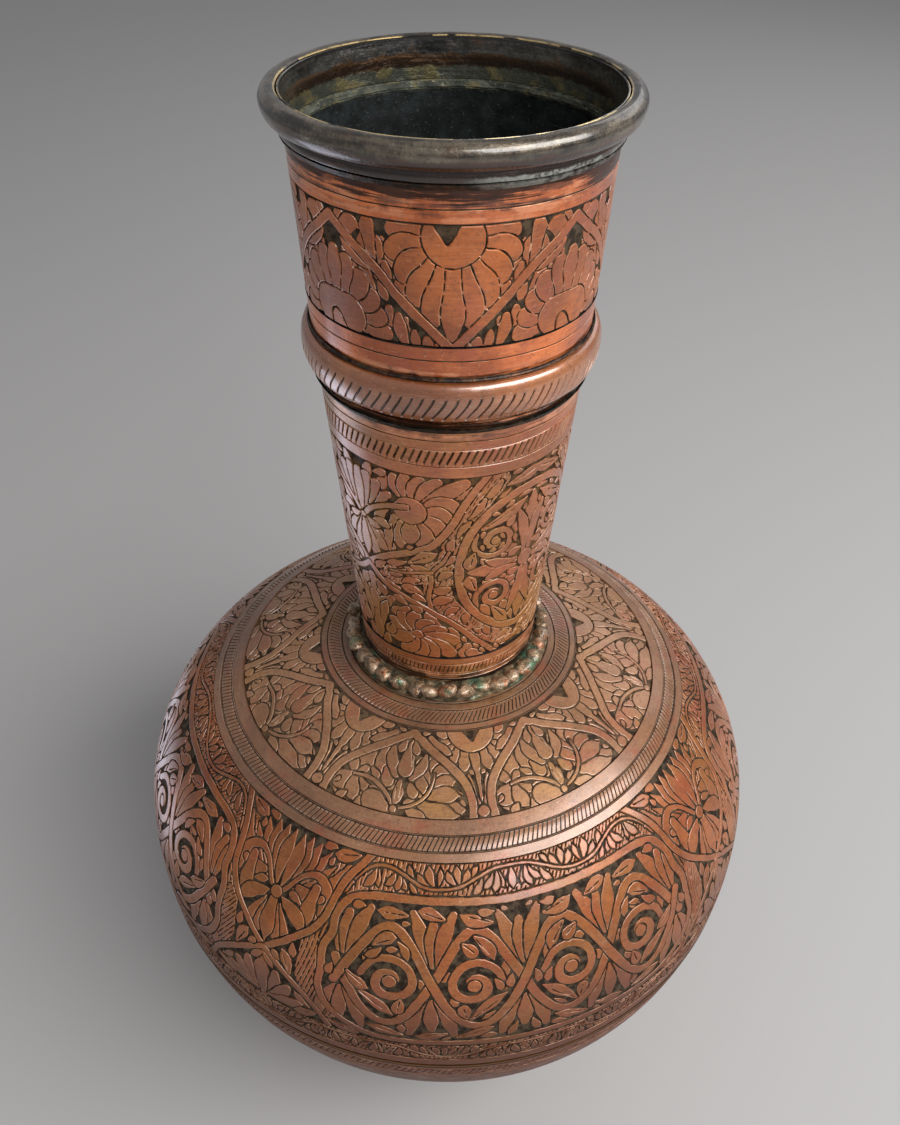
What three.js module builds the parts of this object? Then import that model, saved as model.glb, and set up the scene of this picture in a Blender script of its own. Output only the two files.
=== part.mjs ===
// Engraved copper bottle vase: a squat round body on a low foot ring, and a tall neck that
// widens upward to a rolled lip. Millimetres, +Z up, origin on the floor under the axis.
// Every piece is a body of revolution about Z, beaten or turned from copper sheet and wire.
import * as THREE from 'three';

// Sides of every turned piece: one number for all, so pieces that touch share their vertices.
const SIDES = 48;

// Sides of the round sections: wire and beads, the moulding, and the lip's outer and inner face.
const WIRE_SIDES = 8;
const BEAD_SIDES = 6;
const ROLL_OUTER_SIDES = 9;
const ROLL_INNER_SIDES = 7;

// Body of the bottle. Its outline is an egg-like curve with a blunt shoulder: an upper and a
// lower half share the widest circle, each with its own height and squareness.
const BODY_RADIUS = 104.5;
const BODY_EQUATOR_Z = 98.5;
const SHOULDER_RISE = 71.7;
const SHOULDER_SQUARENESS = 2.37;
const BOWL_DEPTH = 95.5;
const BOWL_SQUARENESS = 2.14;
const SHEET = 1.4;

// The body is two raised shells. The lower one ends in a lap that stands inside the upper one.
const SEAM_Z = 84;
const SEAM_LINE = 0.8;
const LAP_HEIGHT = 6;
const LAP_CLEARANCE = 0.3;
const NECK_HOLE_RADIUS = 28;

// Where the turned outline of the body has its points: closely spaced where it is flat.
const BOWL_FLOOR_RADII = [22, 58, 70];
const BOWL_WALL_HEIGHTS = [33, 47, 65];
const SHELL_WALL_HEIGHTS = [112, 124, 135, 145];
const SHELL_SHOULDER_RADII = [78, 67, 53];

// Foot ring: a strip bent round, flared at the floor and soldered under the bowl.
const FOOT_TOP_RADIUS = 44;
const FOOT_FLOOR_RADIUS = 50;
const FOOT_STRIP = 2.4;
const FOOT_SPREAD = 1;
const FOOT_EDGE = 0.6;
const FOOT_EDGE_Z = 0.7;
const FOOT_LIP_Z = 1.9;
const FOOT_LIP_UNDERCUT = 0.2;
const FOOT_NECK_IN = 2.6;
const FOOT_NECK_Z = 3.6;
const FOOT_WAIST_OUT = 1.1;
const FOOT_WAIST_Z = 6.4;
const FOOT_HOLLOW_IN = 0.9;
const FOOT_HOLLOW_Z = 5;

// Neck: two straight-sided tubes. The lower one is drawn in at its top to slip up the upper one.
const NECK_FOOT_Z = 164;
const NECK_JOINT_Z = 270;
const NECK_TOP_Z = 328.2;
const NECK_LAP = 9;
const NECK_SHOULDER = 1;
const NECK_SHEET = 1.35;
const LOWER_NECK_RADIUS = 27.1;
const LOWER_NECK_SLOPE = 0.0848;
const LOWER_NECK_DATUM_Z = 170;
const UPPER_NECK_RADIUS = 35.75;
const UPPER_NECK_SLOPE = 0.0585;

// Half-round moulding over the neck joint.
const BEAD_Z = 276.5;
const BEAD_HALF_HEIGHT = 5.5;
const BEAD_PROUD = 2.6;
const BEAD_EDGE = 0.3;
const BEAD_BLUNTNESS = 0.8;

// Row of beads on the solder bed at the foot of the neck.
const PEARL_RING_RADIUS = 30.1;
const PEARL_RADIUS = 1.8;
const PEARL_Z = 171.2;
const SOLDER_BED_RADIUS = 32.3;
const SOLDER_BED_HEIGHT = 1.1;
const SOLDER_BED_BEVEL = 0.5;
const SOLDER_BED_EDGE = 0.6;
const SOLDER_BED_DIP = 0.3;

// Mouth: an inner sleeve that flares a little, and a lip rolled round a wire outside it.
const SLEEVE_FOOT_RADIUS = 38.3;
const SLEEVE_MOUTH_RADIUS = 39.0;
const SLEEVE_SHEET = 0.9;
const SLEEVE_TOP_Z = 338.1;
const SLEEVE_BEND_Z = 334;
const SLEEVE_TOP_OUT = 0.3;
const SLEEVE_TOP_IN = 0.1;
const ROLL_RADIUS = 2.7;
const ROLL_CENTRE_RADIUS = 41.5;
const ROLL_CENTRE_Z = 336;
const ROLL_SHEET = 0.8;
const ROLL_FIRST_DEGREES = -118;
const ROLL_LAST_DEGREES = 128;
const WIRE_RADIUS = 1.5;

// Skirt under the lip: it stands clear of the sleeve and swells at its foot.
const SKIRT_FOOT_Z = 329.4;
const SKIRT_CLEARANCE = 0.55;
const SKIRT_SHEET = 0.7;
const SKIRT_SWELL = 0.85;
const SKIRT_SWELL_RISE = 1.4;
const SKIRT_WAIST = 0.5;
const SKIRT_WAIST_RISE = 3.2;
const SKIRT_BACK_RISE = 4.4;

// Gap left between pieces that the solder joins.
const SOLDER_GAP = 0.2;

// Runs of solder: how far each stands out from the neck, and how far it reaches up or down it.
const BEAD_HEAD_RUN = { out: 0.9, reach: 1.4 };
const BEAD_FOOT_RUN = { out: 0.9, fullOut: 1.1, full: 1, reach: 2.6 };
const LEDGE_RUN = { head: 0.1, out: 0.9, rise: -0.2, fullOut: 1, full: -1.6, reach: -2.6 };
const RIM_RUN = { out: 0.6, back: 0.15, nose: 1, noseDrop: 1.2, noseBase: 1, root: 1.4, reach: 2.4 };

const COPPER = { color: 0xa65a3c, roughness: 0.42, metalness: 0.9 };
const DARK_COPPER = { color: 0x6b4a3a, roughness: 0.55, metalness: 0.8 };
const TARNISHED_LIP = { color: 0x4a4540, roughness: 0.4, metalness: 0.85 };
const GREY_SOLDER = { color: 0x55564c, roughness: 0.6, metalness: 0.5 };
const GREEN_SOLDER = { color: 0x5d6f58, roughness: 0.65, metalness: 0.4 };
const SPELTER = { color: 0xb08a4a, roughness: 0.45, metalness: 0.9 };
const IRON_WIRE = { color: 0x3d3a37, roughness: 0.7, metalness: 0.8 };

const bottle = new THREE.Group();

// Turns a closed outline of [radius, height] points about the vertical axis.
function turn(name, outline, finish) {
  const points = outline.map(([radius, height]) => new THREE.Vector2(radius, height));
  const geometry = new THREE.LatheGeometry(points, SIDES);
  geometry.rotateX(Math.PI / 2);
  const mesh = new THREE.Mesh(geometry, new THREE.MeshStandardMaterial(finish));
  mesh.name = name;
  bottle.add(mesh);
}

// Repeats the first point at the end, for a ring whose outline never meets the axis.
function closed(outline) {
  return [...outline, outline[0]];
}

function steps(count) {
  return Array.from({ length: count + 1 }, (unused, i) => i / count);
}

// Radius of the body's outside at a height, and the height of the shoulder or bowl at a radius.
function bodyRadius(z) {
  const above = z > BODY_EQUATOR_Z;
  const reach = above ? SHOULDER_RISE : BOWL_DEPTH;
  const power = above ? SHOULDER_SQUARENESS : BOWL_SQUARENESS;
  const part = Math.min(Math.abs(z - BODY_EQUATOR_Z) / reach, 1);
  return BODY_RADIUS * (1 - part ** power) ** (1 / power);
}

function shoulderHeight(radius) {
  const part = (radius / BODY_RADIUS) ** SHOULDER_SQUARENESS;
  return BODY_EQUATOR_Z + SHOULDER_RISE * (1 - part) ** (1 / SHOULDER_SQUARENESS);
}

function bowlHeight(radius) {
  const part = (radius / BODY_RADIUS) ** BOWL_SQUARENESS;
  return BODY_EQUATOR_Z - BOWL_DEPTH * (1 - part) ** (1 / BOWL_SQUARENESS);
}

// Moves a curve of [radius, height] points sideways by a distance, to the left of its run.
function offset(curve, distance) {
  return curve.map(([radius, height], i) => {
    const before = curve[Math.max(i - 1, 0)];
    const after = curve[Math.min(i + 1, curve.length - 1)];
    const run = Math.hypot(after[0] - before[0], after[1] - before[1]);
    const normal = [-(after[1] - before[1]) / run, (after[0] - before[0]) / run];
    return [Math.max(radius + normal[0] * distance, 0), height + normal[1] * distance];
  });
}

// The outside of the bowl from its pole up to the seam. It is closely spaced where the curve
// is flat, and two of its points lie where the foot ring starts and ends.
const bowlFloor = [0, FOOT_TOP_RADIUS - FOOT_STRIP, FOOT_TOP_RADIUS, ...BOWL_FLOOR_RADII]
  .sort((a, b) => a - b)
  .map((radius) => [radius, bowlHeight(radius)]);
const bowlWall = [...BOWL_WALL_HEIGHTS, SEAM_Z].map((z) => [bodyRadius(z), z]);
const bowlOutside = [...bowlFloor, ...bowlWall];

function lowerBowl() {
  const inside = offset(bowlOutside, SHEET);
  inside[0][0] = 0;
  const lapBand = [SEAM_Z, SEAM_Z + LAP_HEIGHT];
  const lapReach = SHEET + LAP_CLEARANCE;
  const lapOutside = lapBand.map((z) => [bodyRadius(z) - lapReach, z]);
  const lapInside = lapBand.map((z) => [bodyRadius(z) - lapReach - SHEET, z]).reverse();
  const wallInside = inside.slice(0, -2).reverse();
  turn('lower_bowl', [...bowlOutside, ...lapOutside, ...lapInside, ...wallInside], COPPER);
}

function bodySeam() {
  const foot = SEAM_Z + SOLDER_GAP;
  const head = foot + SEAM_LINE;
  turn('body_seam_braze', closed([
    [bodyRadius(foot), foot],
    [bodyRadius(head), head],
    [bodyRadius(head) - SHEET, head],
    [bodyRadius(foot) - SHEET, foot],
  ]), SPELTER);
}

function upperBody() {
  const start = SEAM_Z + SEAM_LINE + 2 * SOLDER_GAP;
  const wallHeights = [start, BODY_EQUATOR_Z, ...SHELL_WALL_HEIGHTS];
  const wall = wallHeights.map((z) => [bodyRadius(z), z]);
  const shoulder = [...SHELL_SHOULDER_RADII, NECK_HOLE_RADIUS]
    .map((radius) => [radius, shoulderHeight(radius)]);
  const outside = [...wall, ...shoulder];
  const inside = offset(outside, SHEET).reverse();
  inside[0][0] = NECK_HOLE_RADIUS;
  turn('upper_body', closed([...outside, ...inside]), COPPER);
}

// The ring's head follows the bowl's own facets, from one of its points to the next.
function footRing() {
  const outerHead = [FOOT_TOP_RADIUS, bowlHeight(FOOT_TOP_RADIUS)];
  const innerHead = [FOOT_TOP_RADIUS - FOOT_STRIP, bowlHeight(FOOT_TOP_RADIUS - FOOT_STRIP)];
  turn('foot_ring', closed([
    [FOOT_FLOOR_RADIUS - FOOT_STRIP - FOOT_SPREAD, 0],
    [FOOT_FLOOR_RADIUS - FOOT_EDGE, 0],
    [FOOT_FLOOR_RADIUS, FOOT_EDGE_Z],
    [FOOT_FLOOR_RADIUS - FOOT_LIP_UNDERCUT, FOOT_LIP_Z],
    [FOOT_FLOOR_RADIUS - FOOT_NECK_IN, FOOT_NECK_Z],
    [FOOT_TOP_RADIUS + FOOT_WAIST_OUT, FOOT_WAIST_Z],
    outerHead,
    innerHead,
    [FOOT_TOP_RADIUS - FOOT_HOLLOW_IN, FOOT_HOLLOW_Z],
  ]), DARK_COPPER);
}

function lowerNeckRadius(z) {
  return LOWER_NECK_RADIUS + LOWER_NECK_SLOPE * (z - LOWER_NECK_DATUM_Z);
}

function upperNeckRadius(z) {
  return UPPER_NECK_RADIUS + UPPER_NECK_SLOPE * (z - NECK_JOINT_Z);
}

function lowerNeck() {
  const head = NECK_JOINT_Z - NECK_SHOULDER;
  const wall = [NECK_FOOT_Z, (NECK_FOOT_Z + head) / 2, head];
  const outside = wall.map((z) => [lowerNeckRadius(z), z]);
  const lapFoot = NECK_JOINT_Z + SOLDER_GAP;
  const lapHead = NECK_JOINT_Z + NECK_LAP;
  const lap = NECK_SHEET + LAP_CLEARANCE;
  const inside = wall.map((z) => [lowerNeckRadius(z) - NECK_SHEET, z]).reverse();
  turn('neck_lower', closed([
    ...outside,
    [upperNeckRadius(lapFoot) - lap, lapFoot],
    [upperNeckRadius(lapHead) - lap, lapHead],
    [upperNeckRadius(lapHead) - lap - NECK_SHEET, lapHead],
    [upperNeckRadius(lapFoot) - lap - NECK_SHEET, lapFoot - NECK_SHOULDER],
    ...inside.slice(1),
  ]), COPPER);
}

function upperNeck() {
  const wall = [NECK_JOINT_Z + 2 * SOLDER_GAP, NECK_TOP_Z];
  const outside = wall.map((z) => [upperNeckRadius(z), z]);
  const inside = wall.map((z) => [upperNeckRadius(z) - NECK_SHEET, z]).reverse();
  turn('neck_upper', closed([...outside, ...inside]), COPPER);
}

function neckBead() {
  const back = (z) => upperNeckRadius(z) + SOLDER_GAP;
  const arc = steps(BEAD_SIDES).map((t) => {
    const angle = -Math.PI / 2 + Math.PI * t;
    const z = BEAD_Z + BEAD_HALF_HEIGHT * Math.sin(angle);
    return [back(z) + BEAD_EDGE + BEAD_PROUD * Math.cos(angle) ** BEAD_BLUNTNESS, z];
  });
  const head = BEAD_Z + BEAD_HALF_HEIGHT;
  const foot = BEAD_Z - BEAD_HALF_HEIGHT;
  turn('neck_bead', closed([...arc, [back(head), head], [back(foot), foot]]), COPPER);
}

// Runs of solder that lie in the corners above and below the moulding.
function beadSolder() {
  const head = BEAD_Z + BEAD_HALF_HEIGHT + SOLDER_GAP;
  turn('bead_solder_upper', closed([
    [upperNeckRadius(head) + SOLDER_GAP, head],
    [upperNeckRadius(head) + BEAD_HEAD_RUN.out, head],
    [upperNeckRadius(head + BEAD_HEAD_RUN.reach) + SOLDER_GAP, head + BEAD_HEAD_RUN.reach],
  ]), GREY_SOLDER);
  const foot = NECK_JOINT_Z - NECK_SHOULDER - SOLDER_GAP;
  const { out, fullOut, full, reach } = BEAD_FOOT_RUN;
  turn('bead_solder_lower', closed([
    [lowerNeckRadius(foot - reach) + SOLDER_GAP, foot - reach],
    [lowerNeckRadius(foot - full) + out, foot - full],
    [lowerNeckRadius(foot) + fullOut, foot],
    [lowerNeckRadius(foot) + SOLDER_GAP, foot],
  ]), GREY_SOLDER);
}

// A flat run of solder round the hole, and the row of beads that sits on it.
function neckCollar() {
  const inner = lowerNeckRadius(LOWER_NECK_DATUM_Z) + SOLDER_GAP;
  const under = (radius) => shoulderHeight(radius) + SOLDER_GAP;
  const bedTop = under(SOLDER_BED_RADIUS) + SOLDER_BED_HEIGHT;
  turn('neck_foot_solder', closed([
    [inner, under(inner)],
    [SOLDER_BED_RADIUS, under(SOLDER_BED_RADIUS)],
    [SOLDER_BED_RADIUS - SOLDER_BED_BEVEL, bedTop - SOLDER_BED_EDGE],
    [inner, bedTop - SOLDER_BED_DIP],
  ]), GREEN_SOLDER);
  turn('pearl_ring', steps(WIRE_SIDES).map((t) => {
    const angle = 2 * Math.PI * t;
    return [PEARL_RING_RADIUS + PEARL_RADIUS * Math.sin(angle), PEARL_Z - PEARL_RADIUS * Math.cos(angle)];
  }), GREEN_SOLDER);
}

function mouth() {
  const foot = NECK_TOP_Z + SOLDER_GAP;
  const slope = (SLEEVE_MOUTH_RADIUS - SLEEVE_FOOT_RADIUS) / (SLEEVE_TOP_Z - foot);
  const sleeve = (z) => SLEEVE_FOOT_RADIUS + slope * (z - foot);
  turn('mouth_sleeve', closed([
    [sleeve(foot), foot],
    [sleeve(foot) + SLEEVE_SHEET, foot],
    [sleeve(SLEEVE_BEND_Z) + SLEEVE_SHEET, SLEEVE_BEND_Z],
    [sleeve(SLEEVE_TOP_Z) + SLEEVE_SHEET - SLEEVE_TOP_OUT, SLEEVE_TOP_Z],
    [sleeve(SLEEVE_TOP_Z) + SLEEVE_TOP_IN, SLEEVE_TOP_Z],
    [sleeve(SLEEVE_BEND_Z), SLEEVE_BEND_Z],
  ]), TARNISHED_LIP);

  // The end of the neck tube shows inside the mouth as a ledge, run over with solder.
  const ledgeOut = upperNeckRadius(NECK_TOP_Z) - NECK_SHEET - SOLDER_GAP;
  turn('mouth_ledge_solder', closed([
    [ledgeOut, NECK_TOP_Z + LEDGE_RUN.reach],
    [ledgeOut, NECK_TOP_Z + LEDGE_RUN.head],
    [ledgeOut - LEDGE_RUN.out, NECK_TOP_Z + LEDGE_RUN.rise],
    [ledgeOut - LEDGE_RUN.fullOut, NECK_TOP_Z + LEDGE_RUN.full],
  ]), GREEN_SOLDER);
}

// The lip is an open curl: it leaves a slot on its inner side, where the sleeve closes it.
function rolledLip() {
  const at = (radius, angle) => [
    ROLL_CENTRE_RADIUS + radius * Math.cos(angle),
    ROLL_CENTRE_Z + radius * Math.sin(angle),
  ];
  const first = THREE.MathUtils.degToRad(ROLL_FIRST_DEGREES);
  const last = THREE.MathUtils.degToRad(ROLL_LAST_DEGREES);
  const outer = steps(ROLL_OUTER_SIDES)
    .map((t) => at(ROLL_RADIUS, first + (last - first) * t));
  const inner = steps(ROLL_INNER_SIDES)
    .map((t) => at(ROLL_RADIUS - ROLL_SHEET, last + (first - last) * t));
  const skirtBack = SLEEVE_FOOT_RADIUS + SLEEVE_SHEET + SKIRT_CLEARANCE;
  turn('rim_roll', closed([
    [skirtBack, SKIRT_FOOT_Z],
    [skirtBack + SKIRT_SHEET, SKIRT_FOOT_Z],
    [skirtBack + SKIRT_SWELL, SKIRT_FOOT_Z + SKIRT_SWELL_RISE],
    [skirtBack + SKIRT_WAIST, SKIRT_FOOT_Z + SKIRT_WAIST_RISE],
    ...outer,
    ...inner,
    [skirtBack, SKIRT_FOOT_Z + SKIRT_BACK_RISE],
  ]), TARNISHED_LIP);
  turn('rim_wire', steps(WIRE_SIDES).map((t) => at(WIRE_RADIUS, 2 * Math.PI * t)), IRON_WIRE);

  const seat = SKIRT_FOOT_Z - SOLDER_GAP;
  const { out, back, nose, noseDrop, noseBase, root, reach } = RIM_RUN;
  turn('rim_solder', closed([
    [upperNeckRadius(seat - reach) + SOLDER_GAP, seat - reach],
    [upperNeckRadius(seat - noseBase) + nose, seat - noseDrop],
    [skirtBack + out, seat],
    [skirtBack - back, seat],
    [upperNeckRadius(seat - root) + SOLDER_GAP, seat - root],
  ]), GREY_SOLDER);
}

footRing();
lowerBowl();
bodySeam();
upperBody();
neckCollar();
lowerNeck();
upperNeck();
neckBead();
beadSolder();
mouth();
rolledLip();

export default bottle;
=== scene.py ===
"""Engraved copper bottle vase: the looks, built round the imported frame.

The file follows the vase from the foot up. Sizes are in millimetres until a mesh is made.
"""
import math
import random

import bpy
import numpy as np
from mathutils import Matrix, Vector, geometry


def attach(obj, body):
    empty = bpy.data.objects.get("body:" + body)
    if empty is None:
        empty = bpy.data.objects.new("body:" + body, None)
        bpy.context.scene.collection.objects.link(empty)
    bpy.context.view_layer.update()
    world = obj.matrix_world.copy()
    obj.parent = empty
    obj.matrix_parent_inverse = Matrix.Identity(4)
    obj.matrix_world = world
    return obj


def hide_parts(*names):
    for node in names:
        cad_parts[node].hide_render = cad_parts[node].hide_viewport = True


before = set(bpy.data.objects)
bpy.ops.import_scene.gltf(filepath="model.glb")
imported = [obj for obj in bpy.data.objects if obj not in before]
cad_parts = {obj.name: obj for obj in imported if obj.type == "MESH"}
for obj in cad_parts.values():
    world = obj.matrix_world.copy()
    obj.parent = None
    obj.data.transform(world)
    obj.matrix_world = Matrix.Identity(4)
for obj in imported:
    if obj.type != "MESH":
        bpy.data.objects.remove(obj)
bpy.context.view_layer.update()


# Camera
# It looks down on the shoulder from a little above the mouth, close enough that the neck
# towers towards it. Place, tilt and lens are the photograph's, with the angles in radians.
MM = 0.001
CAMERA_PLACE = Vector((0, -252.6, 407.1)) * MM
CAMERA_DOWN = 0.6936
CAMERA_YAW = 0.0012
CAMERA_ROLL = 0.0100
PHOTO_HEIGHT_PX = 1125
FOCAL_PX = 1059.2

forward = Vector((
    math.sin(CAMERA_YAW) * math.cos(CAMERA_DOWN),
    math.cos(CAMERA_YAW) * math.cos(CAMERA_DOWN),
    -math.sin(CAMERA_DOWN),
))
level_right = forward.cross(Vector((0, 0, 1))).normalized()
level_up = level_right.cross(forward)
right = level_right * math.cos(CAMERA_ROLL) + level_up * math.sin(CAMERA_ROLL)
up = level_up * math.cos(CAMERA_ROLL) - level_right * math.sin(CAMERA_ROLL)

camera = bpy.data.objects.new("camera", bpy.data.cameras.new("camera"))
bpy.context.scene.collection.objects.link(camera)
bpy.context.scene.camera = camera
camera.data.sensor_fit = "AUTO"
camera.data.sensor_width = 36
camera.data.lens = FOCAL_PX / PHOTO_HEIGHT_PX * camera.data.sensor_width
camera.data.clip_start = 0.01
camera.matrix_world = Matrix.Translation(CAMERA_PLACE) @ Matrix(
    (right, up, -forward)
).transposed().to_4x4()


# Foot ring
# A strip of copper bent to a ring, flared at the floor and soldered under the bowl. It is out
# of sight in the photograph, and years of standing have left it the darkest copper of all.
class Flow:
    """A socket of a node tree. Arithmetic on it adds Math nodes."""

    def __init__(self, graph, socket):
        self.graph, self.socket = graph, socket

    def __add__(self, other):
        return self.graph.maths("ADD", self, other)

    def __sub__(self, other):
        return self.graph.maths("SUBTRACT", self, other)

    def __rsub__(self, other):
        return self.graph.maths("SUBTRACT", other, self)

    def __mul__(self, other):
        return self.graph.maths("MULTIPLY", self, other)

    def __truediv__(self, other):
        return self.graph.maths("DIVIDE", self, other)

    def __rtruediv__(self, other):
        return self.graph.maths("DIVIDE", other, self)

    __radd__ = __add__
    __rmul__ = __mul__

    def between(self, low, high):
        """0 at low, 1 at high, eased at both ends; low may be the larger."""
        return self.graph.node(
            "ShaderNodeMapRange", {0: self, 1: low, 2: high}, interpolation_type="SMOOTHSTEP"
        )


class Graph:
    """A node tree written as calls."""

    def __init__(self, tree):
        self.tree = tree

    def node(self, kind, values=(), give=0, **settings):
        """Adds a node: its settings first, then the values or links of its sockets.

        What comes back is the output that give names, a list of outputs for a tuple of names,
        or nothing for None.
        """
        made = self.tree.nodes.new(kind)
        for name, value in settings.items():
            setattr(made, name, value)
        pairs = values.items() if isinstance(values, dict) else enumerate(values)
        for pin, value in pairs:
            if isinstance(value, Flow):
                self.tree.links.new(value.socket, made.inputs[pin])
            else:
                made.inputs[pin].default_value = value
        if give is None:
            return None
        if isinstance(give, tuple):
            return [Flow(self, made.outputs[name]) for name in give]
        return Flow(self, made.outputs[give])

    def maths(self, operation, *values):
        return self.node("ShaderNodeMath", values, operation=operation)

    def vectors(self, operation, *values):
        return self.node("ShaderNodeVectorMath", values, operation=operation)

    def joined(self, x, y, z):
        return self.node("ShaderNodeCombineXYZ", (x, y, z))

    def split(self, vector):
        return self.node("ShaderNodeSeparateXYZ", (vector,), give=("X", "Y", "Z"))


def tree_with(tree, sockets):
    """A tree's writer and its inputs. What it gives is called Piece."""
    for name, kind in sockets:
        tree.interface.new_socket(name, in_out="INPUT", socket_type="NodeSocket" + kind)
    tree.interface.new_socket("Piece", in_out="OUTPUT", socket_type="NodeSocketGeometry")
    graph = Graph(tree)
    given = tree.nodes.new("NodeGroupInput").outputs
    return graph, {name: Flow(graph, given[name]) for name, _ in sockets}


def in_rows(graph, copies, repeats, map_rows):
    """Makes copies real, and lays their maps for baked textures in rows, one above the other."""
    copies = graph.node(
        "GeometryNodeStoreNamedAttribute",
        {"Geometry": copies, "Name": "repeat", "Value": graph.node("GeometryNodeInputIndex")},
        data_type="FLOAT", domain="INSTANCE",
    )
    flat = graph.node("GeometryNodeRealizeInstances", (copies,))
    repeat = graph.node("GeometryNodeInputNamedAttribute", ("repeat",), data_type="FLOAT")
    spot = graph.node("GeometryNodeInputNamedAttribute", ("OFBake",), data_type="FLOAT_VECTOR")
    across, down, _ = graph.split(spot)
    in_row = repeats / map_rows
    row = graph.maths("FLOOR", (repeat + 0.5) / in_row)
    place = graph.joined((repeat - row * in_row + across) / in_row, (row + down) / map_rows, 0)
    return graph.node(
        "GeometryNodeStoreNamedAttribute", {"Geometry": flat, "Name": "OFBake", "Value": place},
        data_type="FLOAT2", domain="CORNER",
    )


DRIFT_SIZE = 14
DRIFT_MARGIN = 5
WELD_DISTANCE = 0.002


def wrap_tree():
    """Repeats a flat strip round the axis and bends it onto a profile.

    The strip's x runs round the vase, its y down the profile, and its z out of the surface.
    Shallow dents go inwards only, and a drift of the whole pattern, which dies away towards the
    strip's edges, keeps one repeat from matching the next.
    """
    tree = bpy.data.node_groups.new("wrap", "GeometryNodeTree")
    sockets = (
        ("Strip", "Geometry"), ("Profile", "Object"), ("Repeats", "Int"), ("Width", "Float"),
        ("Height", "Float"), ("Start", "Float"), ("Dent Depth", "Float"), ("Dent Size", "Float"),
        ("Drift", "Float"), ("Map Rows", "Int"), ("Finish", "Material"),
    )
    graph, wanted = tree_with(tree, sockets)
    repeats, width = wanted["Repeats"], wanted["Width"]
    row = graph.node(
        "GeometryNodeMeshLine", {"Count": repeats, "Offset": graph.joined(width, 0, 0)},
    )
    copies = graph.node(
        "GeometryNodeInstanceOnPoints", {"Points": row, "Instance": wanted["Strip"]},
    )
    flat = in_rows(graph, copies, repeats, wanted["Map Rows"])

    x, y, z = graph.split(graph.node("GeometryNodeInputPosition"))
    turn = x / (width * repeats) * math.tau + wanted["Start"]
    profile = graph.node("GeometryNodeObjectInfo", {"Object": wanted["Profile"]}, give="Geometry")

    def on_profile(length):
        """Radius and height at a length down the profile, and the way out of the surface there."""
        point, run = graph.node(
            "GeometryNodeSampleCurve", {"Curves": profile, "Length": length},
            give=("Position", "Tangent"), mode="LENGTH",
        )
        radius, _, height = graph.split(point)
        run_out, _, run_up = graph.split(run)
        return radius, height, 0 - run_up, run_out

    def noise(at, size, detail):
        return graph.node(
            "ShaderNodeTexNoise", {"Vector": at, "Scale": 1 / size, "Detail": detail}, give="Color"
        )

    radius, height, _, _ = on_profile(y)
    bare = graph.joined(
        radius * graph.maths("SINE", turn), radius * graph.maths("COSINE", turn), height,
    )
    along, over, _ = graph.split(noise(bare, DRIFT_SIZE * MM, 1.0))
    edge = graph.maths("MINIMUM", y, wanted["Height"] - y)
    sway = edge.between(0.0, DRIFT_MARGIN * MM) * wanted["Drift"] * 2
    turn = turn + (along - 0.5) * sway / graph.maths("MAXIMUM", radius, MM)
    dent, _, _ = graph.split(noise(bare, wanted["Dent Size"], 2.0))
    lift = z - dent * wanted["Dent Depth"]
    radius, height, lean_out, lean_up = on_profile(y + (over - 0.5) * sway)
    reach = graph.maths("MAXIMUM", radius + lean_out * lift, 0.0)
    bent = graph.joined(
        reach * graph.maths("SINE", turn),
        0 - reach * graph.maths("COSINE", turn),
        height + lean_up * lift,
    )
    bent = graph.node("GeometryNodeSetPosition", {"Geometry": flat, "Position": bent})
    whole = graph.node(
        "GeometryNodeMergeByDistance", {"Geometry": bent, "Distance": WELD_DISTANCE * MM},
    )
    painted = graph.node(
        "GeometryNodeSetMaterial", {"Geometry": whole, "Material": wanted["Finish"]},
    )
    graph.node("NodeGroupOutput", {"Piece": painted}, give=None)
    return tree


WRAP = wrap_tree()


def as_object(name, data):
    made = bpy.data.objects.new(name, data)
    bpy.context.scene.collection.objects.link(made)
    return made


def flat_strip(points, faces, cuts, places):
    """A strip's mesh: points in millimetres, how deep each is cut, and each corner's map place."""
    mesh = bpy.data.meshes.new("strip")
    mesh.from_pydata((np.asarray(points) * MM).tolist(), [], faces)
    cut = mesh.attributes.new("cut", "FLOAT", "POINT")
    cut.data.foreach_set("value", np.asarray(cuts, np.float32))
    layer = mesh.uv_layers.new(name="OFBake")
    layer.uv.foreach_set("vector", np.asarray(places, np.float32).ravel())
    return mesh


def lengths(outline):
    """Distance along an outline to each of its points."""
    return np.r_[0, np.cumsum(np.hypot(*np.diff(outline, axis=0).T))]


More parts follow.
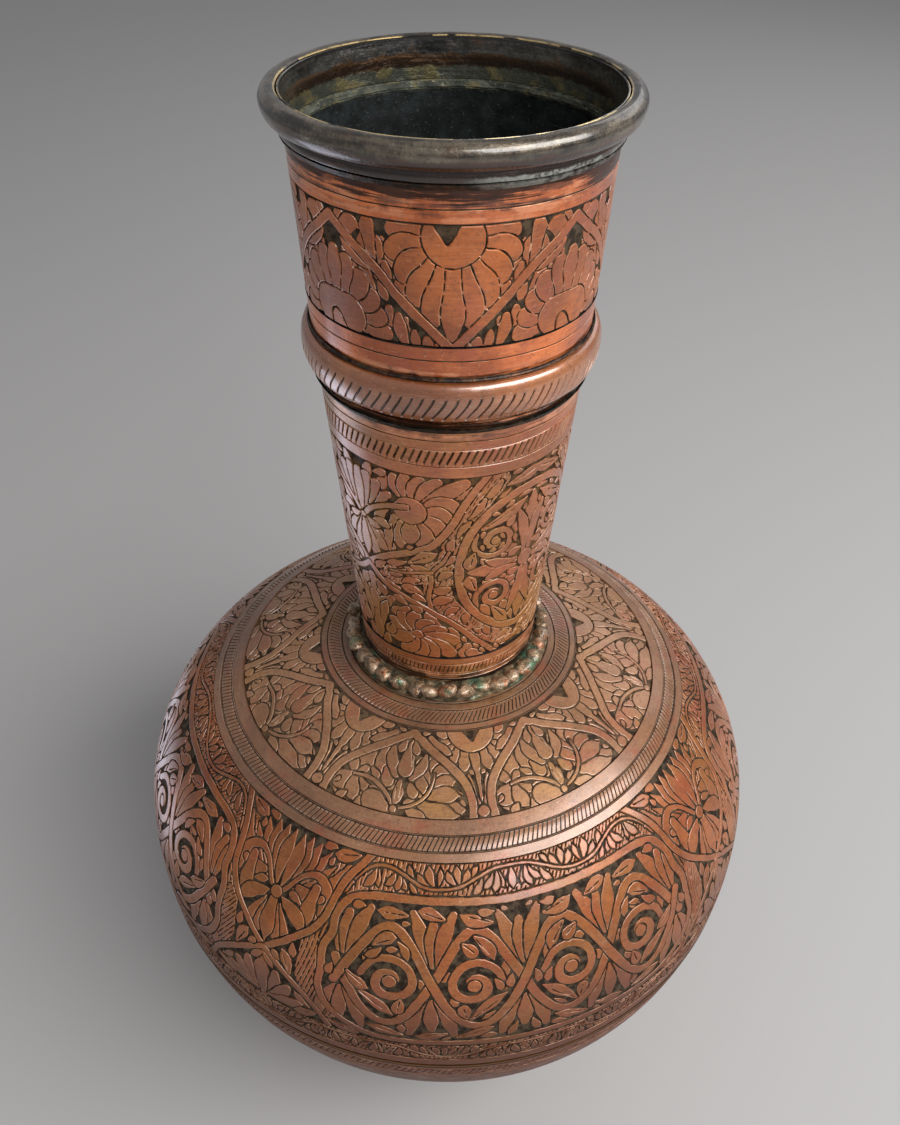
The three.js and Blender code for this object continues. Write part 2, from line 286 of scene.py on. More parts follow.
def ruled_strip(width, outline, columns, longest, lines=(), cuts=None, lined=math.inf):
    """A strip with a row of faces for each step of the outline, and at most simple engraving.

    Each line is a V-shaped score round the vase: its place down the outline, its half width and
    its depth. The cuts are one slanting V in each repeat: their top and bottom down the outline,
    how far they run sideways, their half width and their depth. From the length where the
    outline turns to the unseen inside, the strip is marked as lining by a cut below nought.
    """
    corners = lengths(outline)
    rows = {0.0: 0.0}
    for begin, end in zip(corners, corners[1:]):
        count = max(math.ceil((end - begin) / longest), 1)
        rows.update((float(begin + (end - begin) * i / count), 0.0) for i in range(1, count + 1))
    for place, half, depth in lines:
        rows = {y: sunk for y, sunk in rows.items() if abs(y - place) > half * 1.2}
        floor = half * 0.45
        rows.update({
            place - half: 0.0, place - floor: depth, place + floor: depth, place + half: 0.0,
        })
    # A line at the very edge of the strip keeps only the half that lies on the metal.
    rows = sorted((y, sunk) for y, sunk in rows.items() if -1e-6 <= y <= corners[-1] + 1e-6)
    shares = np.linspace(-0.5, 0.5, columns + 1)
    if cuts:
        top, bottom, run, half, deep = cuts
        # Each cut runs out to nothing at both ends, over a short taper.
        taper = min(0.8, (bottom - top) / 3)
        stops = (top, top + taper, bottom - taper, bottom)
        rows = [row for row in rows if row[1] or min(abs(row[0] - stop) for stop in stops) > 0.3]
        rows = sorted(rows + [(y, 0.0) for y in stops])
        floor = half * 0.5 / width
        shares = np.array([-0.5, -half / width, -floor, floor, half / width, 0.5])
    points, depths = [], []
    for y, sunk in rows:
        slant = share_cut = 0.0
        if cuts:
            share = float(np.clip((y - top) / (bottom - top), 0, 1))
            slant = (0.5 - (share + share * share * (3 - 2 * share)) / 2) * run
            share_cut = float(np.interp(y, stops, (0, 1, 1, 0)))
        for share in shares:
            low = max(sunk, deep * share_cut if cuts and abs(share) <= floor else 0.0)
            points.append((share * width + slant, y, -low))
            depths.append(-1.0 if y > lined else min(low * 4, 1.0))
    stride = len(shares)
    faces, places = [], []
    for i in range(len(rows) - 1):
        high, low = rows[i][0] / corners[-1], rows[i + 1][0] / corners[-1]
        for j in range(stride - 1):
            corner = i * stride + j
            faces.append((corner, corner + stride, corner + stride + 1, corner + 1))
            near, far = shares[j] + 0.5, shares[j + 1] + 0.5
            places += [(near, high), (near, low), (far, low), (far, high)]
    return flat_strip(points, faces, depths, places)


def run_tree(piece, tree, inputs, crease):
    """Runs a tree on a piece's own mesh, once, and leaves the piece a plain mesh."""
    modifier = piece.modifiers.new("shape", "NODES")
    modifier.node_group = tree
    for item in tree.interface.items_tree:
        if item.name in inputs:
            modifier[item.identifier] = inputs[item.name]
    view = bpy.context.evaluated_depsgraph_get()
    mesh = bpy.data.meshes.new_from_object(
        piece.evaluated_get(view), preserve_all_data_layers=True, depsgraph=view
    )
    piece.modifiers.remove(modifier)
    piece.data = mesh
    mesh.name = piece.name
    mesh.shade_smooth()
    mesh.set_sharp_from_angle(angle=math.radians(crease))


def wrapped(
    name, strip, width, outline, repeats, finish, start=0.0, dents=(0.0, 18), drift=0.0, map_rows=1,
    crease=24,
):
    """Wraps a strip round the axis on an outline of [radius, height] points, as a plain mesh."""
    curve = bpy.data.curves.new("profile", "CURVE")
    curve.dimensions = "3D"
    spline = curve.splines.new("POLY")
    spline.points.add(len(outline) - 1)
    for point, (radius, height) in zip(spline.points, outline):
        point.co = (radius * MM, 0, height * MM, 1)
    profile = as_object("profile", curve)
    piece = as_object(name, strip)
    run_tree(piece, WRAP, {
        "Profile": profile, "Repeats": repeats, "Width": width * MM,
        "Height": float(lengths(outline)[-1]) * MM, "Start": math.radians(start),
        "Dent Depth": dents[0] * MM, "Dent Size": dents[1] * MM, "Drift": drift * MM,
        "Map Rows": map_rows, "Finish": finish,
    }, crease)
    bpy.data.objects.remove(profile)
    return piece


def turned(
    name, outline, finish, columns=192, longest=2.0, repeats=12, lines=(), cuts=None,
    lined=math.inf, **options,
):
    """A turned piece from its closed outline, or one that starts and ends on the axis."""
    width = math.tau * max(radius for radius, _ in outline) / repeats
    strip = ruled_strip(width, outline, max(columns // repeats, 1), longest, lines, cuts, lined)
    return wrapped(name, strip, width, outline, repeats, finish, map_rows=4, **options)


def fitted(piece, slot, *nodes):
    """Hangs the piece on the frame's root and hides the CAD nodes that it stands for.

    The slot, the piece's finish, is not used.
    """
    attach(piece, "root")
    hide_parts(*nodes)


def colour(hexadecimal):
    """A linear colour from a hexadecimal sRGB one."""
    parts = [int(hexadecimal[i:i + 2], 16) / 255 for i in (0, 2, 4)]
    return tuple(
        part / 12.92 if part < 0.04045 else ((part + 0.055) / 1.055) ** 2.4 for part in parts
    )


class Paint(Graph):
    """A material's node tree, with the few moves that every finish here is made of."""

    def __init__(self, name):
        self.material = bpy.data.materials.new(name)
        self.material.use_nodes = True
        super().__init__(self.material.node_tree)
        self.tree.nodes.clear()
        self.place = self.node("ShaderNodeTexCoord", give="Object")
        self.x, self.y, self.z = self.split(self.place)

    def noise(self, size, detail=3.0, roughness=0.55, at=None):
        """Cloudy noise from 0 to 1 whose clouds are about size millimetres across."""
        scale = 1 / (size * MM)
        return self.node("ShaderNodeTexNoise", {
            "Vector": at or self.place, "Scale": scale, "Detail": detail, "Roughness": roughness,
        })

    def streaks(self, length, width):
        """Noise drawn out round the axis, as a burnisher leaves it."""
        radius = self.maths("SQRT", self.x * self.x + self.y * self.y)
        squeeze = width / length
        at = self.joined(self.x * squeeze, self.y * squeeze, self.z - radius)
        return self.noise(width, 2.0, 0.6, at)

    def mix(self, share, first, second):
        """A colour that goes from the first to the second as the share goes from 0 to 1."""
        first, second = (
            (*tone, 1) if isinstance(tone, tuple) else tone for tone in (first, second)
        )
        return self.node(
            "ShaderNodeMix", {0: share, 6: first, 7: second}, give=2, data_type="RGBA",
            clamp_factor=True,
        )

    def bump(self, height, depth, under=None):
        """A dent or bulge of the normal, so many millimetres deep, over another one."""
        values = {"Strength": 1.0, "Distance": depth * MM, "Height": height}
        if under is not None:
            values["Normal"] = under
        return self.node("ShaderNodeBump", values)

    def finish(
        self, base, metallic, roughness, normal=None, coat=None, coat_roughness=0.3, coat_ior=1.5
    ):
        """The finished material. A coat is the thin skin of patina and grease on the metal."""
        values = {"Base Color": base, "Metallic": metallic, "Roughness": roughness}
        if coat is not None:
            values.update({
                "Coat Weight": coat, "Coat Roughness": coat_roughness, "Coat IOR": coat_ior,
            })
            values["Specular IOR Level"] = 0.15
        if normal is not None:
            values["Normal"] = normal
        surface = self.node("ShaderNodeBsdfPrincipled", values)
        self.node("ShaderNodeOutputMaterial", {"Surface": surface}, give=None)
        return self.material


def foot_finish():
    paint = Paint("worn dark copper")
    worn = paint.noise(6, 4)
    base = paint.mix(worn.between(0.35, 0.7), colour("2f2019"), colour("5f3c2b"))
    base = paint.mix(paint.noise(2.2, 3).between(0.6, 0.75) * 0.5, base, colour("4f5a4a"))
    normal = paint.bump(paint.streaks(20, 0.5), 0.05)
    return paint.finish(base, 0.8, worn * 0.25 + 0.4, normal)


FOOT_TOP_RADIUS = 44
FOOT_FLOOR_RADIUS = 50
FOOT_STRIP = 2.4
foot_outline = [
    (FOOT_FLOOR_RADIUS - FOOT_STRIP - 1, 0.1), (FOOT_FLOOR_RADIUS - 0.6, 0.05),
    (FOOT_FLOOR_RADIUS, 0.7), (FOOT_FLOOR_RADIUS - 0.2, 1.9), (FOOT_FLOOR_RADIUS - 1.4, 2.7),
    (FOOT_FLOOR_RADIUS - 2.6, 3.6), (FOOT_TOP_RADIUS + 1.4, 6.0), (FOOT_TOP_RADIUS, 10.0),
    (FOOT_TOP_RADIUS - FOOT_STRIP, 9.8), (FOOT_TOP_RADIUS - 0.9, 5),
    (FOOT_FLOOR_RADIUS - FOOT_STRIP - 1, 0.1),
]
foot_outline.reverse()
foot = turned("foot_ring_copper", foot_outline, foot_finish(), dents=(0.3, 12))
fitted(foot, "dark_copper", "foot_ring")


# Lower bowl
# One sheet of copper beaten down into a bowl, its planishing marks left in the metal. A plain
# rim of it laps up inside the shell above. The photograph hides it under the belly.
BODY_RADIUS = 104.5
BODY_EQUATOR_Z = 98.5
SHOULDER_RISE = 71.7
SHOULDER_SQUARENESS = 2.37
BOWL_DEPTH = 95.5
BOWL_SQUARENESS = 2.14
BOWL_FOOT_Z = BODY_EQUATOR_Z - BOWL_DEPTH
OUTLINE_POINTS = 400
OUTLINE_STEP = 1.5
SHEET = 1.4
SEAM_Z = 84
LAP_HEIGHT = 6
LAP_GAP = 0.3
LAP_STEP = 1.4
LAP_STEP_Z = SEAM_Z - 8
BORDER_FOOT_Z = 66


def body_outline():
    """The body's outside from pole to pole, closely spaced, as radius and height."""
    turn = np.linspace(0, math.pi / 2, OUTLINE_POINTS)
    upper = np.column_stack([
        BODY_RADIUS * np.sin(turn) ** (2 / SHOULDER_SQUARENESS),
        BODY_EQUATOR_Z + SHOULDER_RISE * np.cos(turn) ** (2 / SHOULDER_SQUARENESS),
    ])
    lower = np.column_stack([
        BODY_RADIUS * np.cos(turn) ** (2 / BOWL_SQUARENESS),
        BODY_EQUATOR_Z - BOWL_DEPTH * np.sin(turn) ** (2 / BOWL_SQUARENESS),
    ])
    return np.vstack([upper, lower[1:]])


BODY = body_outline()


def down_body(top, bottom):
    """The body's outline between two heights, at even steps."""
    along = lengths(BODY)
    begin, end = (np.interp(-height, -BODY[:, 1], along) for height in (top, bottom))
    stops = np.linspace(begin, end, math.ceil((end - begin) / OUTLINE_STEP) + 1)
    return [(np.interp(s, along, BODY[:, 0]), np.interp(s, along, BODY[:, 1])) for s in stops]


def body_radius(z):
    """Radius of the body at a height."""
    return float(np.interp(-z, -BODY[:, 1], BODY[:, 0]))


def shoulder_height(radius):
    """Height of the shoulder at a radius."""
    upper = BODY[:OUTLINE_POINTS]
    return float(np.interp(radius, upper[:, 0], upper[:, 1]))


def inside_of(outline, sheet):
    """An outline moved into the metal by the sheet's thickness."""
    points = np.array(outline)
    run = np.gradient(points, axis=0)
    run /= np.hypot(*run.T)[:, None]
    moved = points + np.column_stack([run[:, 1], -run[:, 0]]) * sheet
    moved[:, 0] = moved[:, 0].clip(0)
    return [tuple(point) for point in moved]


def bowl_finish():
    paint = Paint("planished copper")
    cloud = paint.noise(38, 4)
    base = paint.mix(cloud.between(0.3, 0.7), colour("532b18"), colour("713f27"))
    base = paint.mix(paint.noise(5, 4).between(0.55, 0.75) * 0.6, base, colour("3a2219"))
    facets = paint.node(
        "ShaderNodeTexVoronoi", {"Vector": paint.place, "Scale": 1 / (7 * MM)}, give="Distance"
    )
    normal = paint.bump(facets, 0.12, paint.bump(paint.streaks(14, 0.4), 0.03))
    return paint.finish(base, 0.5, cloud * 0.2 + 0.34, normal)


bowl_outside = down_body(BORDER_FOOT_Z, BOWL_FOOT_Z)
lap_top_z = SEAM_Z + LAP_HEIGHT
lap_foot = body_radius(SEAM_Z) - SHEET - LAP_GAP
lap_head = body_radius(lap_top_z) - SHEET - LAP_GAP
bowl_outline = [
    *inside_of(bowl_outside, SHEET)[:1:-1], (lap_foot - SHEET - LAP_STEP, LAP_STEP_Z),
    (lap_foot - SHEET, SEAM_Z), (lap_head - SHEET, lap_top_z), (lap_head, lap_top_z),
    (lap_foot, SEAM_Z), (lap_foot - LAP_STEP, LAP_STEP_Z), *bowl_outside,
]
bowl_outline[0] = (0, BOWL_FOOT_Z + SHEET)
bowl_outline[-1] = (0, BOWL_FOOT_Z)
bowl = turned("lower_bowl_copper", bowl_outline, bowl_finish(), longest=3.5, dents=(0.2, 16))
fitted(bowl, "copper", "lower_bowl")


# Body seam
# Brass spelter run into the joint between the two raised shells, and filed down almost flush.
# It holds the bowl and the shell together all the way round.
def seam_finish():
    paint = Paint("filed spelter")
    grain = paint.noise(1.4, 4)
    base = paint.mix(grain, colour("6a452b"), colour("8c6138"))
    return paint.finish(base, 0.9, grain * 0.3 + 0.35, paint.bump(grain, 0.1))


seam_foot, seam_middle, seam_head = SEAM_Z + 0.1, SEAM_Z + 0.6, SEAM_Z + 1.1
seam_radius = body_radius(seam_middle)
seam_outline = [
    (seam_radius - SHEET, seam_head), (seam_radius, seam_head), (seam_radius + 0.05, seam_middle),
    (seam_radius, seam_foot), (seam_radius - SHEET, seam_foot), (seam_radius - SHEET, seam_head),
]
seam = turned("body_seam_spelter", seam_outline, seam_finish(), dents=(0.25, 3))
fitted(seam, "spelter", "body_seam_braze")


# Border of the lower bowl
# The top of the copper bowl, just under the seam: a ring of slanting chisel cuts between scored
# lines. The photograph only hints at it, so it follows the rings on the shoulder.
FULL_LINE = (0.32, 0.26)
THIN_LINE = (0.26, 0.2)
HAIR_LINE = (0.22, 0.16)
BODY_RING_CUTS = 312
BODY_CUTS_DEPTH = 0.32
BODY_DENTS = (0.35, 22)


def lines_at(line, *places):
    """The same scored line at several places down an outline."""
    return [(place, *line) for place in places]


def engraved_finish(
    name, dark, light, warm, edge, ground="534536", deep="29211a", soot_and_shade=(), shine=0.8, gloss=0.25,
    coat_ior=1.74,
):
    """Old copper under a thin brown skin, with black polish in its cuts, their edges painted bright
    as worn copper and painted glints.

    A warmer tone drifts over it, and it is painted darker towards the belly as painted shade.
    Soot and shade are pairs of a height and a spread: about each, black streaks of grime and
    painted shade lie between bright streaks of worn copper with painted highlight and painted
    shade streaks. The unseen lining is black with tarnish, under a dusty crust next to the mouth.
    """
    paint = Paint(name)
    cut = paint.node("ShaderNodeAttribute", attribute_name="cut", give="Fac")
    cloud = paint.noise(24, 5, 0.6)
    blush = paint.noise(13, 5, 0.62)
    wear = paint.noise(5, 5, 0.6)
    streak = paint.streaks(9, 0.8)
    pits = paint.noise(0.8, 3)
    base = paint.mix(cloud.between(0.36, 0.64), colour(dark), colour(light))
    base = paint.mix(paint.noise(34, 4).between(0.48, 0.64) * 0.6, base, colour(warm))
    base = paint.mix(blush.between(0.5, 0.64) * 0.4, base, colour("a5431f"))
    base = paint.mix(wear.between(0.52, 0.7) * 0.5, base, colour(dark))
    base = paint.mix(paint.noise(1.1, 5, 0.7).between(0.5, 0.74) * 0.55, base, colour("3d281c"))
    base = paint.mix(
        (streak + paint.noise(3, 4) * 0.5).between(0.78, 1.0) * 0.4, base, colour(dark),
    )
    base = paint.mix(paint.noise(1.2, 4, 0.7).between(0.6, 0.74) * 0.3, base, colour(edge))
    scratch = paint.streaks(5, 0.28)
    base = paint.mix(scratch.between(0.44, 0.3) * (wear * 0.55), base, colour("4a2c1c"))
    base = paint.mix(scratch.between(0.57, 0.72) * 0.12, base, colour(edge))
    # Towards the belly the copper is painted darker and browner, as painted shade.
    low = paint.z.between(130 * MM, 92 * MM)
    base = paint.mix(low * 0.82, base, colour("552a14"))
    burnish, sooty_and_shaded = 0.0, 0.0
    for height, spread in soot_and_shade:
        near = 1 - paint.maths("ABSOLUTE", paint.z - height * MM) / (spread * MM)
        smear_and_shade = (paint.streaks(26, 1.3) - 0.5) * 4.2 + (paint.streaks(12, 0.45) - 0.5) * 3
        smear_and_shade = smear_and_shade + (blush - 0.5) * 2.2
        burnish = near.between(-1.0, -0.1) + burnish
        # Bright streaks just beyond the band: worn copper and painted highlight.
        lit = (paint.streaks(20, 1.5) + (wear - 0.5) * 0.7).between(0.5, 0.66)
        lit = lit * near.between(-1.0, -0.1)
        base = paint.mix(lit * 0.65, base, colour("ea9a6c"))
        # Dark brown streaks over the band's fringe: painted shade.
        shade = (paint.streaks(13, 1.6) + (wear - 0.5) * 0.7).between(0.5, 0.34)
        shade = shade * near.between(-0.6, 0.1)
        base = paint.mix(shade * 0.7, base, colour("4a2416"))
        # Black streaks in the band: grime and painted shade.
        burnt_and_shaded = (near * 1.05 + smear_and_shade).between(0.25, 0.9) * near.between(0.0, 0.4)
        sooty_and_shaded = burnt_and_shaded + sooty_and_shaded
        base = paint.mix(burnt_and_shaded * 0.92, base, colour("241813"))
    # Along the edges of the cuts: worn bright copper and painted glints.
    worn_edge_glint = cut.between(0.02, 0.2) * cut.between(0.6, 0.36)
    base = paint.mix(worn_edge_glint * wear.between(0.4, 0.62) * 0.45, base, colour(edge))
    sunk = cut.between(0.4, 0.75)
    dirt = paint.mix(paint.noise(2.2, 4).between(0.38, 0.62), colour(deep), colour(ground))
    base = paint.mix(sunk, base, dirt)
    lining = cut.between(-0.05, -0.3)
    crust = paint.z.between(324.4 * MM, 327.2 * MM) + (paint.noise(3, 5) - 0.5) * 0.8
    grey = paint.mix(wear.between(0.35, 0.7), colour("121414"), colour("272b2b"))
    grey = paint.mix(pits.between(0.6, 0.72) * 0.5, grey, colour("4e5350"))
    dusty = paint.mix(
        paint.noise(1.8, 5, 0.65).between(0.4, 0.62), colour("3d413a"), colour("67685c"),
    )
    dusty = paint.mix(paint.noise(5, 5, 0.7).between(0.47, 0.66) * 0.6, dusty, colour("7d7048"))
    base = paint.mix(lining, base, paint.mix(crust.between(0.3, 0.8), grey, dusty))
    dull = sunk + lining
    matted = paint.bump(paint.noise(0.55, 2) * dull, 0.16)
    normal = paint.bump(wear, 0.14, paint.bump(pits, 0.07, paint.bump(scratch, 0.025, matted)))
    rough = 0.46 + (wear - 0.5) * 0.4 + (pits - 0.5) * 0.25 + dull * 0.35 - burnish * 0.14
    coat = (shine - dull * 0.74 - sooty_and_shaded * 0.55 + (blush - 0.5) * 1.2) * (1 - low * 0.8)
    return paint.finish(base, 0.36 - dull * 0.26, rough, normal, coat, gloss, coat_ior)


def shell_outline(top, bottom):
    """A band of the shell: its outside from top to bottom, then its inside back up."""
    outside = down_body(top, bottom)
    return outside + inside_of(outside, SHEET)[::-1] + outside[:1]


belt_copper = engraved_finish("belt copper", "854a28", "b26634", "a46a34", "e6b898", shine=0.6)
border = turned(
    "bowl_border_copper", shell_outline(SEAM_Z, BORDER_FOOT_Z), belt_copper,
    repeats=BODY_RING_CUTS, longest=1.6, lines=lines_at(FULL_LINE, 2.6, 7.4, 10.6),
    cuts=(2.7, 7.3, 1.9, 0.28, BODY_CUTS_DEPTH), dents=BODY_DENTS, drift=0.2, lined=20.0,
)
fitted(border, "copper", "lower_bowl")


# Belt
# The widest band of the upper shell, which is raised from one sheet of copper: four cartouches
# of crossing strands and spirals, framed by straps, with spandrels of leaves between. The ground
# is chiselled away round the figures and blackened, so they stand flat and bright.
FAR = 9.0
SCORE_HALF = 0.3
COARSE = 4
LEAF_TURNS = 12
ROOM_PASSES = 12
EDGE_WIDTH = 0.14
WALL_WIDTH = 0.17
EDGE_DROP = 0.06
WALL_DEPTH = 0.4
GROUND_DEPTH = 0.55
LOOSE_MARGIN = 0.35
FRONT_MAP = 0.86
BACK_MAP = (0.89, 0.09)
EDGE_MAP = (0.865, 0.88)


class Drawing:
    """One repeat of an engraved band, laid flat in millimetres: x along the band and y down it.

    Every point of a fine grid knows how far it lies inside the raised figures, and how far it is
    from the nearest scored line. The stretch is the band's true width over the drawing's, from
    top to bottom. Strokes are a path with its half widths. They are drawn with their reflection
    in the mirror, a place along the band, or without one where it is None.
    """

    def __init__(self, width, height, stretch=(1, 1), step=0.14, score=SCORE_HALF):
        self.width, self.height, self.score_half, self.mirror = width, height, score, 0.0
        self.x = np.linspace(-width / 2, width / 2, round(width / step / COARSE) * COARSE + 1)
        self.y = np.linspace(0, height, round(height / step / COARSE) * COARSE + 1)
        self.stretch = np.interp(self.y, np.linspace(0, height, len(stretch)), stretch)[:, None]
        self.figure = np.full((len(self.y), len(self.x)), -FAR)
        self.line = np.full_like(self.figure, FAR)

    def copies(self, path, halves):
        """A stroke with its repeats and its reflection."""
        path = np.column_stack([path, halves])
        path = smooth(path) if len(path) > 2 else path
        path = np.vstack([path, path]) if len(path) == 1 else path
        both = [path]
        if self.mirror is not None:
            both.append(path * (-1, 1, 1) + (2 * self.mirror, 0, 0))
        return [one + (shift, 0, 0) for one in both for shift in (-self.width, 0, self.width)]

    def depth(self, strokes):
        """How far the grid lies inside the strokes."""
        inside = np.full_like(self.figure, -FAR)
        for stroke in strokes:
            for path in self.copies(*stroke):
                self.sweep(inside, path)
        return inside

    def sweep(self, inside, path):
        """Draws a round brush along a path, with the band's true proportions at each height."""
        margin = 1.2
        most = path[:, 2].max() * 1.4 + margin
        if path[:, 0].min() - most > self.x[-1] or path[:, 0].max() + most < self.x[0]:
            return
        for (ax, ay, ar), (bx, by, br) in zip(path[:-1], path[1:]):
            far = max(ar, br) + margin
            wide = far / self.stretch.min()
            left, right = np.searchsorted(self.x, (min(ax, bx) - wide, max(ax, bx) + wide))
            top, bottom = np.searchsorted(self.y, (min(ay, by) - far, max(ay, by) + far))
            if left >= right or top >= bottom:
                continue
            scale = self.stretch[top:bottom]
            px = (self.x[None, left:right] - ax) * scale
            py = self.y[top:bottom, None] - ay
            dx, dy = (bx - ax) * scale, by - ay
            along = np.clip((px * dx + py * dy) / np.maximum(dx * dx + dy * dy, 1e-9), 0, 1)
            reach = ar + (br - ar) * along - np.hypot(px - along * dx, py - along * dy)
            window = inside[top:bottom, left:right]
            np.maximum(window, reach, out=window)

    def lay(self, *strokes):
        """Lays raised figures over what is there, with their outline scored round them."""
        inside = self.depth(strokes)
        self.line = np.minimum(np.maximum(self.line, inside), np.abs(inside))
        self.figure = np.maximum(self.figure, inside)

    def cut(self, *strokes):
        """Takes the strokes out of the figures, down to the ground."""
        self.figure = np.minimum(self.figure, -self.depth(strokes))

    def score(self, *strokes):
        """Scores lines as wide as the strokes."""
        self.line = np.minimum(self.line, self.score_half - self.depth(strokes))

    def hatch(self, pitch, slant, half, *strokes):
        """Leaves the ground under the strokes standing, and scores it with slanting lines."""
        slant = math.radians(slant)
        across = self.x * self.stretch * math.sin(slant) + self.y[:, None] * math.cos(slant)
        away = np.abs(across / pitch % 1 - 0.5) * pitch
        area = self.depth(strokes)
        self.figure = np.maximum(self.figure, area)
        self.line = np.where(
            area > 0, np.minimum(self.line, self.score_half - half + away), self.line,
        )

    def petals(self, blunt, base, *rows, scale=1.0):
        """Lays petals, each over those before it: its root, tip, half width and bend."""
        for root, tip, half, bend in rows:
            self.lay(petal(root, tip, half * scale, bend, blunt, base))

    def spray(self, centre, start, half_widths, tips, bend=0.4, blunt=0.85, base=0.4):
        """A spray of petals that start at a distance from the centre and end at their tips."""
        for tip, half in zip(tips, half_widths):
            away = np.subtract(tip, centre)
            root = np.add(centre, away / np.hypot(*away) * start)
            self.lay(petal(root, tip, half * 1.2, bend, blunt, base))

    def sow(self, gap, least, most, seed):
        """Fills the ground that is left with leaves, the roomiest spot first.

        A leaf keeps a gap to what is there, and its half width lies between least and most.
        """
        chance = random.Random(seed)
        xs, ys = self.x[:-1:COARSE], self.y[::COARSE]
        step = xs[1] - xs[0]
        room = np.where(self.figure[::COARSE, :-1:COARSE] > 0, 0.0, FAR)
        room[[0, -1]] = 0.0
        for _ in range(ROOM_PASSES):
            for shift in (-1, 1):
                room = np.minimum(room, np.roll(room, shift, 1) + step)
                moved = np.roll(room, shift, 0) + step
                moved[0 if shift == 1 else -1] = FAR
                room = np.minimum(room, moved)

        def room_at(x, y):
            column = round((x - xs[0]) / step) % len(xs)
            row = round(y / (ys[1] - ys[0]))
            return room[row, column] if 0 <= row < len(ys) else 0.0

        while True:
            row, column = np.unravel_index(room.argmax(), room.shape)
            half = min(room[row, column] - gap, most)
            if half < least:
                return
            x, y = xs[column], ys[row]
            # A leaf that would run into its own reflection lies along the mirror line instead.
            line = self.mirror + round((x - self.mirror) / (self.width / 2)) * self.width / 2
            astride = abs(x - line) < 1.3 * half
            best = (0, 0, 0, 0)
            for i in range(LEAF_TURNS):
                angle = (i + chance.random() * 0.5) * math.pi / LEAF_TURNS
                if astride:
                    x, angle = line, math.pi / 2
                reach, longest = [], 3.4 * half + 1.2
                for way in (1, -1):
                    far = half
                    along, down = way * math.cos(angle), way * math.sin(angle)
                    while far < longest and room_at(x + far * along, y + far * down) > gap + 0.25:
                        far += 0.4
                    reach.append(far)
                if sum(reach) > best[0]:
                    best = (sum(reach), angle, *reach)
            reach, angle, ahead, behind = best
            along = np.array((math.cos(angle), math.sin(angle)))
            root, tip = (x, y) - along * behind, (x, y) + along * ahead
            if chance.random() < 0.5:
                root, tip = tip, root
            bend = 0 if astride else chance.uniform(-0.5, 0.5) * half
            leaf = petal(root, tip, half - 0.1, bend, 0.5, 0.3)
            # A spot too cramped for a leaf stays ground, and isn't tried again.
            if reach > 2.9 * half:
                self.lay(leaf)
            if half > 1.5:
                self.score(([tuple(root + (tip - root) * t) for t in (0.1, 0.7)], [0.26, 0.2]))
            for path in self.copies(*leaf):
                for px, py, radius in path[::2]:
                    away = np.hypot(xs[None, :] - px, ys[:, None] - py) - radius
                    room = np.minimum(room, np.maximum(away, 0.0))

    def surface(self):
        """Above nought on the figures, below it in lines and ground, with the hand's unevenness."""
        turn = math.tau * self.x / self.width
        down = self.y[:, None]
        count = round(self.width / 5)
        sway = np.sin(count * turn + down * 0.9) * np.sin(down * 1.1 - 2 * turn)
        sway = sway + np.sin((2 * count + 1) * turn - down * 1.9)
        border = np.minimum(down, self.height - down)
        raised = np.minimum(self.figure, self.line) + 0.05 * sway
        return np.minimum(raised, border) - self.score_half


def smooth(points):
    """A curve through the points, in five steps from each to the next, every column alike."""
    ends = np.vstack([2 * points[0] - points[1], points, 2 * points[-1] - points[-2]])
    t = np.linspace(0, 1, 5, endpoint=False)[:, None]
    spans = []
    for a, b, c, d in zip(ends, ends[1:], ends[2:], ends[3:]):
        square, cube = 2 * a - 5 * b + 4 * c - d, 3 * b - a - 3 * c + d
        spans.append(0.5 * (2 * b + (c - a) * t + square * t**2 + cube * t**3))
    return np.vstack([*spans, points[-1:]])


def strap(half, *path):
    """A stroke of even width."""
    return path, [half] * len(path)


def disc(x, y, radius):
    """A stroke of a single point."""
    return [(x, y)], [radius]


def petal(root, tip, half, bend=0.0, blunt=0.75, base=0.35):
    """A petal from its root to its tip. A bend bows it to the left of its run."""
    half = half * 1.06 + 0.22
    root, run = np.array(root), np.subtract(tip, root)
    length = max(math.hypot(*run), 1e-6)
    side = np.array((run[1], -run[0])) / length
    last = blunt * (0.35 if blunt < 0.7 else 0.8)
    back = 1 - last * half / length
    path = [
        tuple(root + run * share * back + side * 4 * bend * share * (1 - share))
        for share in (0, 0.3, 0.62, 0.86, 1)
    ]
    return path, [half * wide for wide in (base, 0.72, 1.0, blunt, last)]


def spiral(drawing, centre, radius, start, turn, half):
    """A stem that winds in to a bud, with leaves on its outside."""
    cx, cy = centre
    wound = 1.45 * math.tau

    def at(share, out=0.0, lag=0.0):
        angle = math.radians(start) + turn * (wound * share + lag)
        far = radius * (1 - share) ** 0.85 + 0.8 + out
        return cx + far * math.cos(angle), cy + far * math.sin(angle)

    for share in (0.04, 0.16, 0.29, 0.42):
        drawing.lay(petal(at(share), at(share, 3.2, 0.5), 1.3, turn * 0.5, 0.65))
    drawing.lay(([at(i / 12) for i in range(13)], [half * (0.75 + 0.03 * i) for i in range(13)]))
    drawing.lay(disc(cx, cy, half * 1.3))


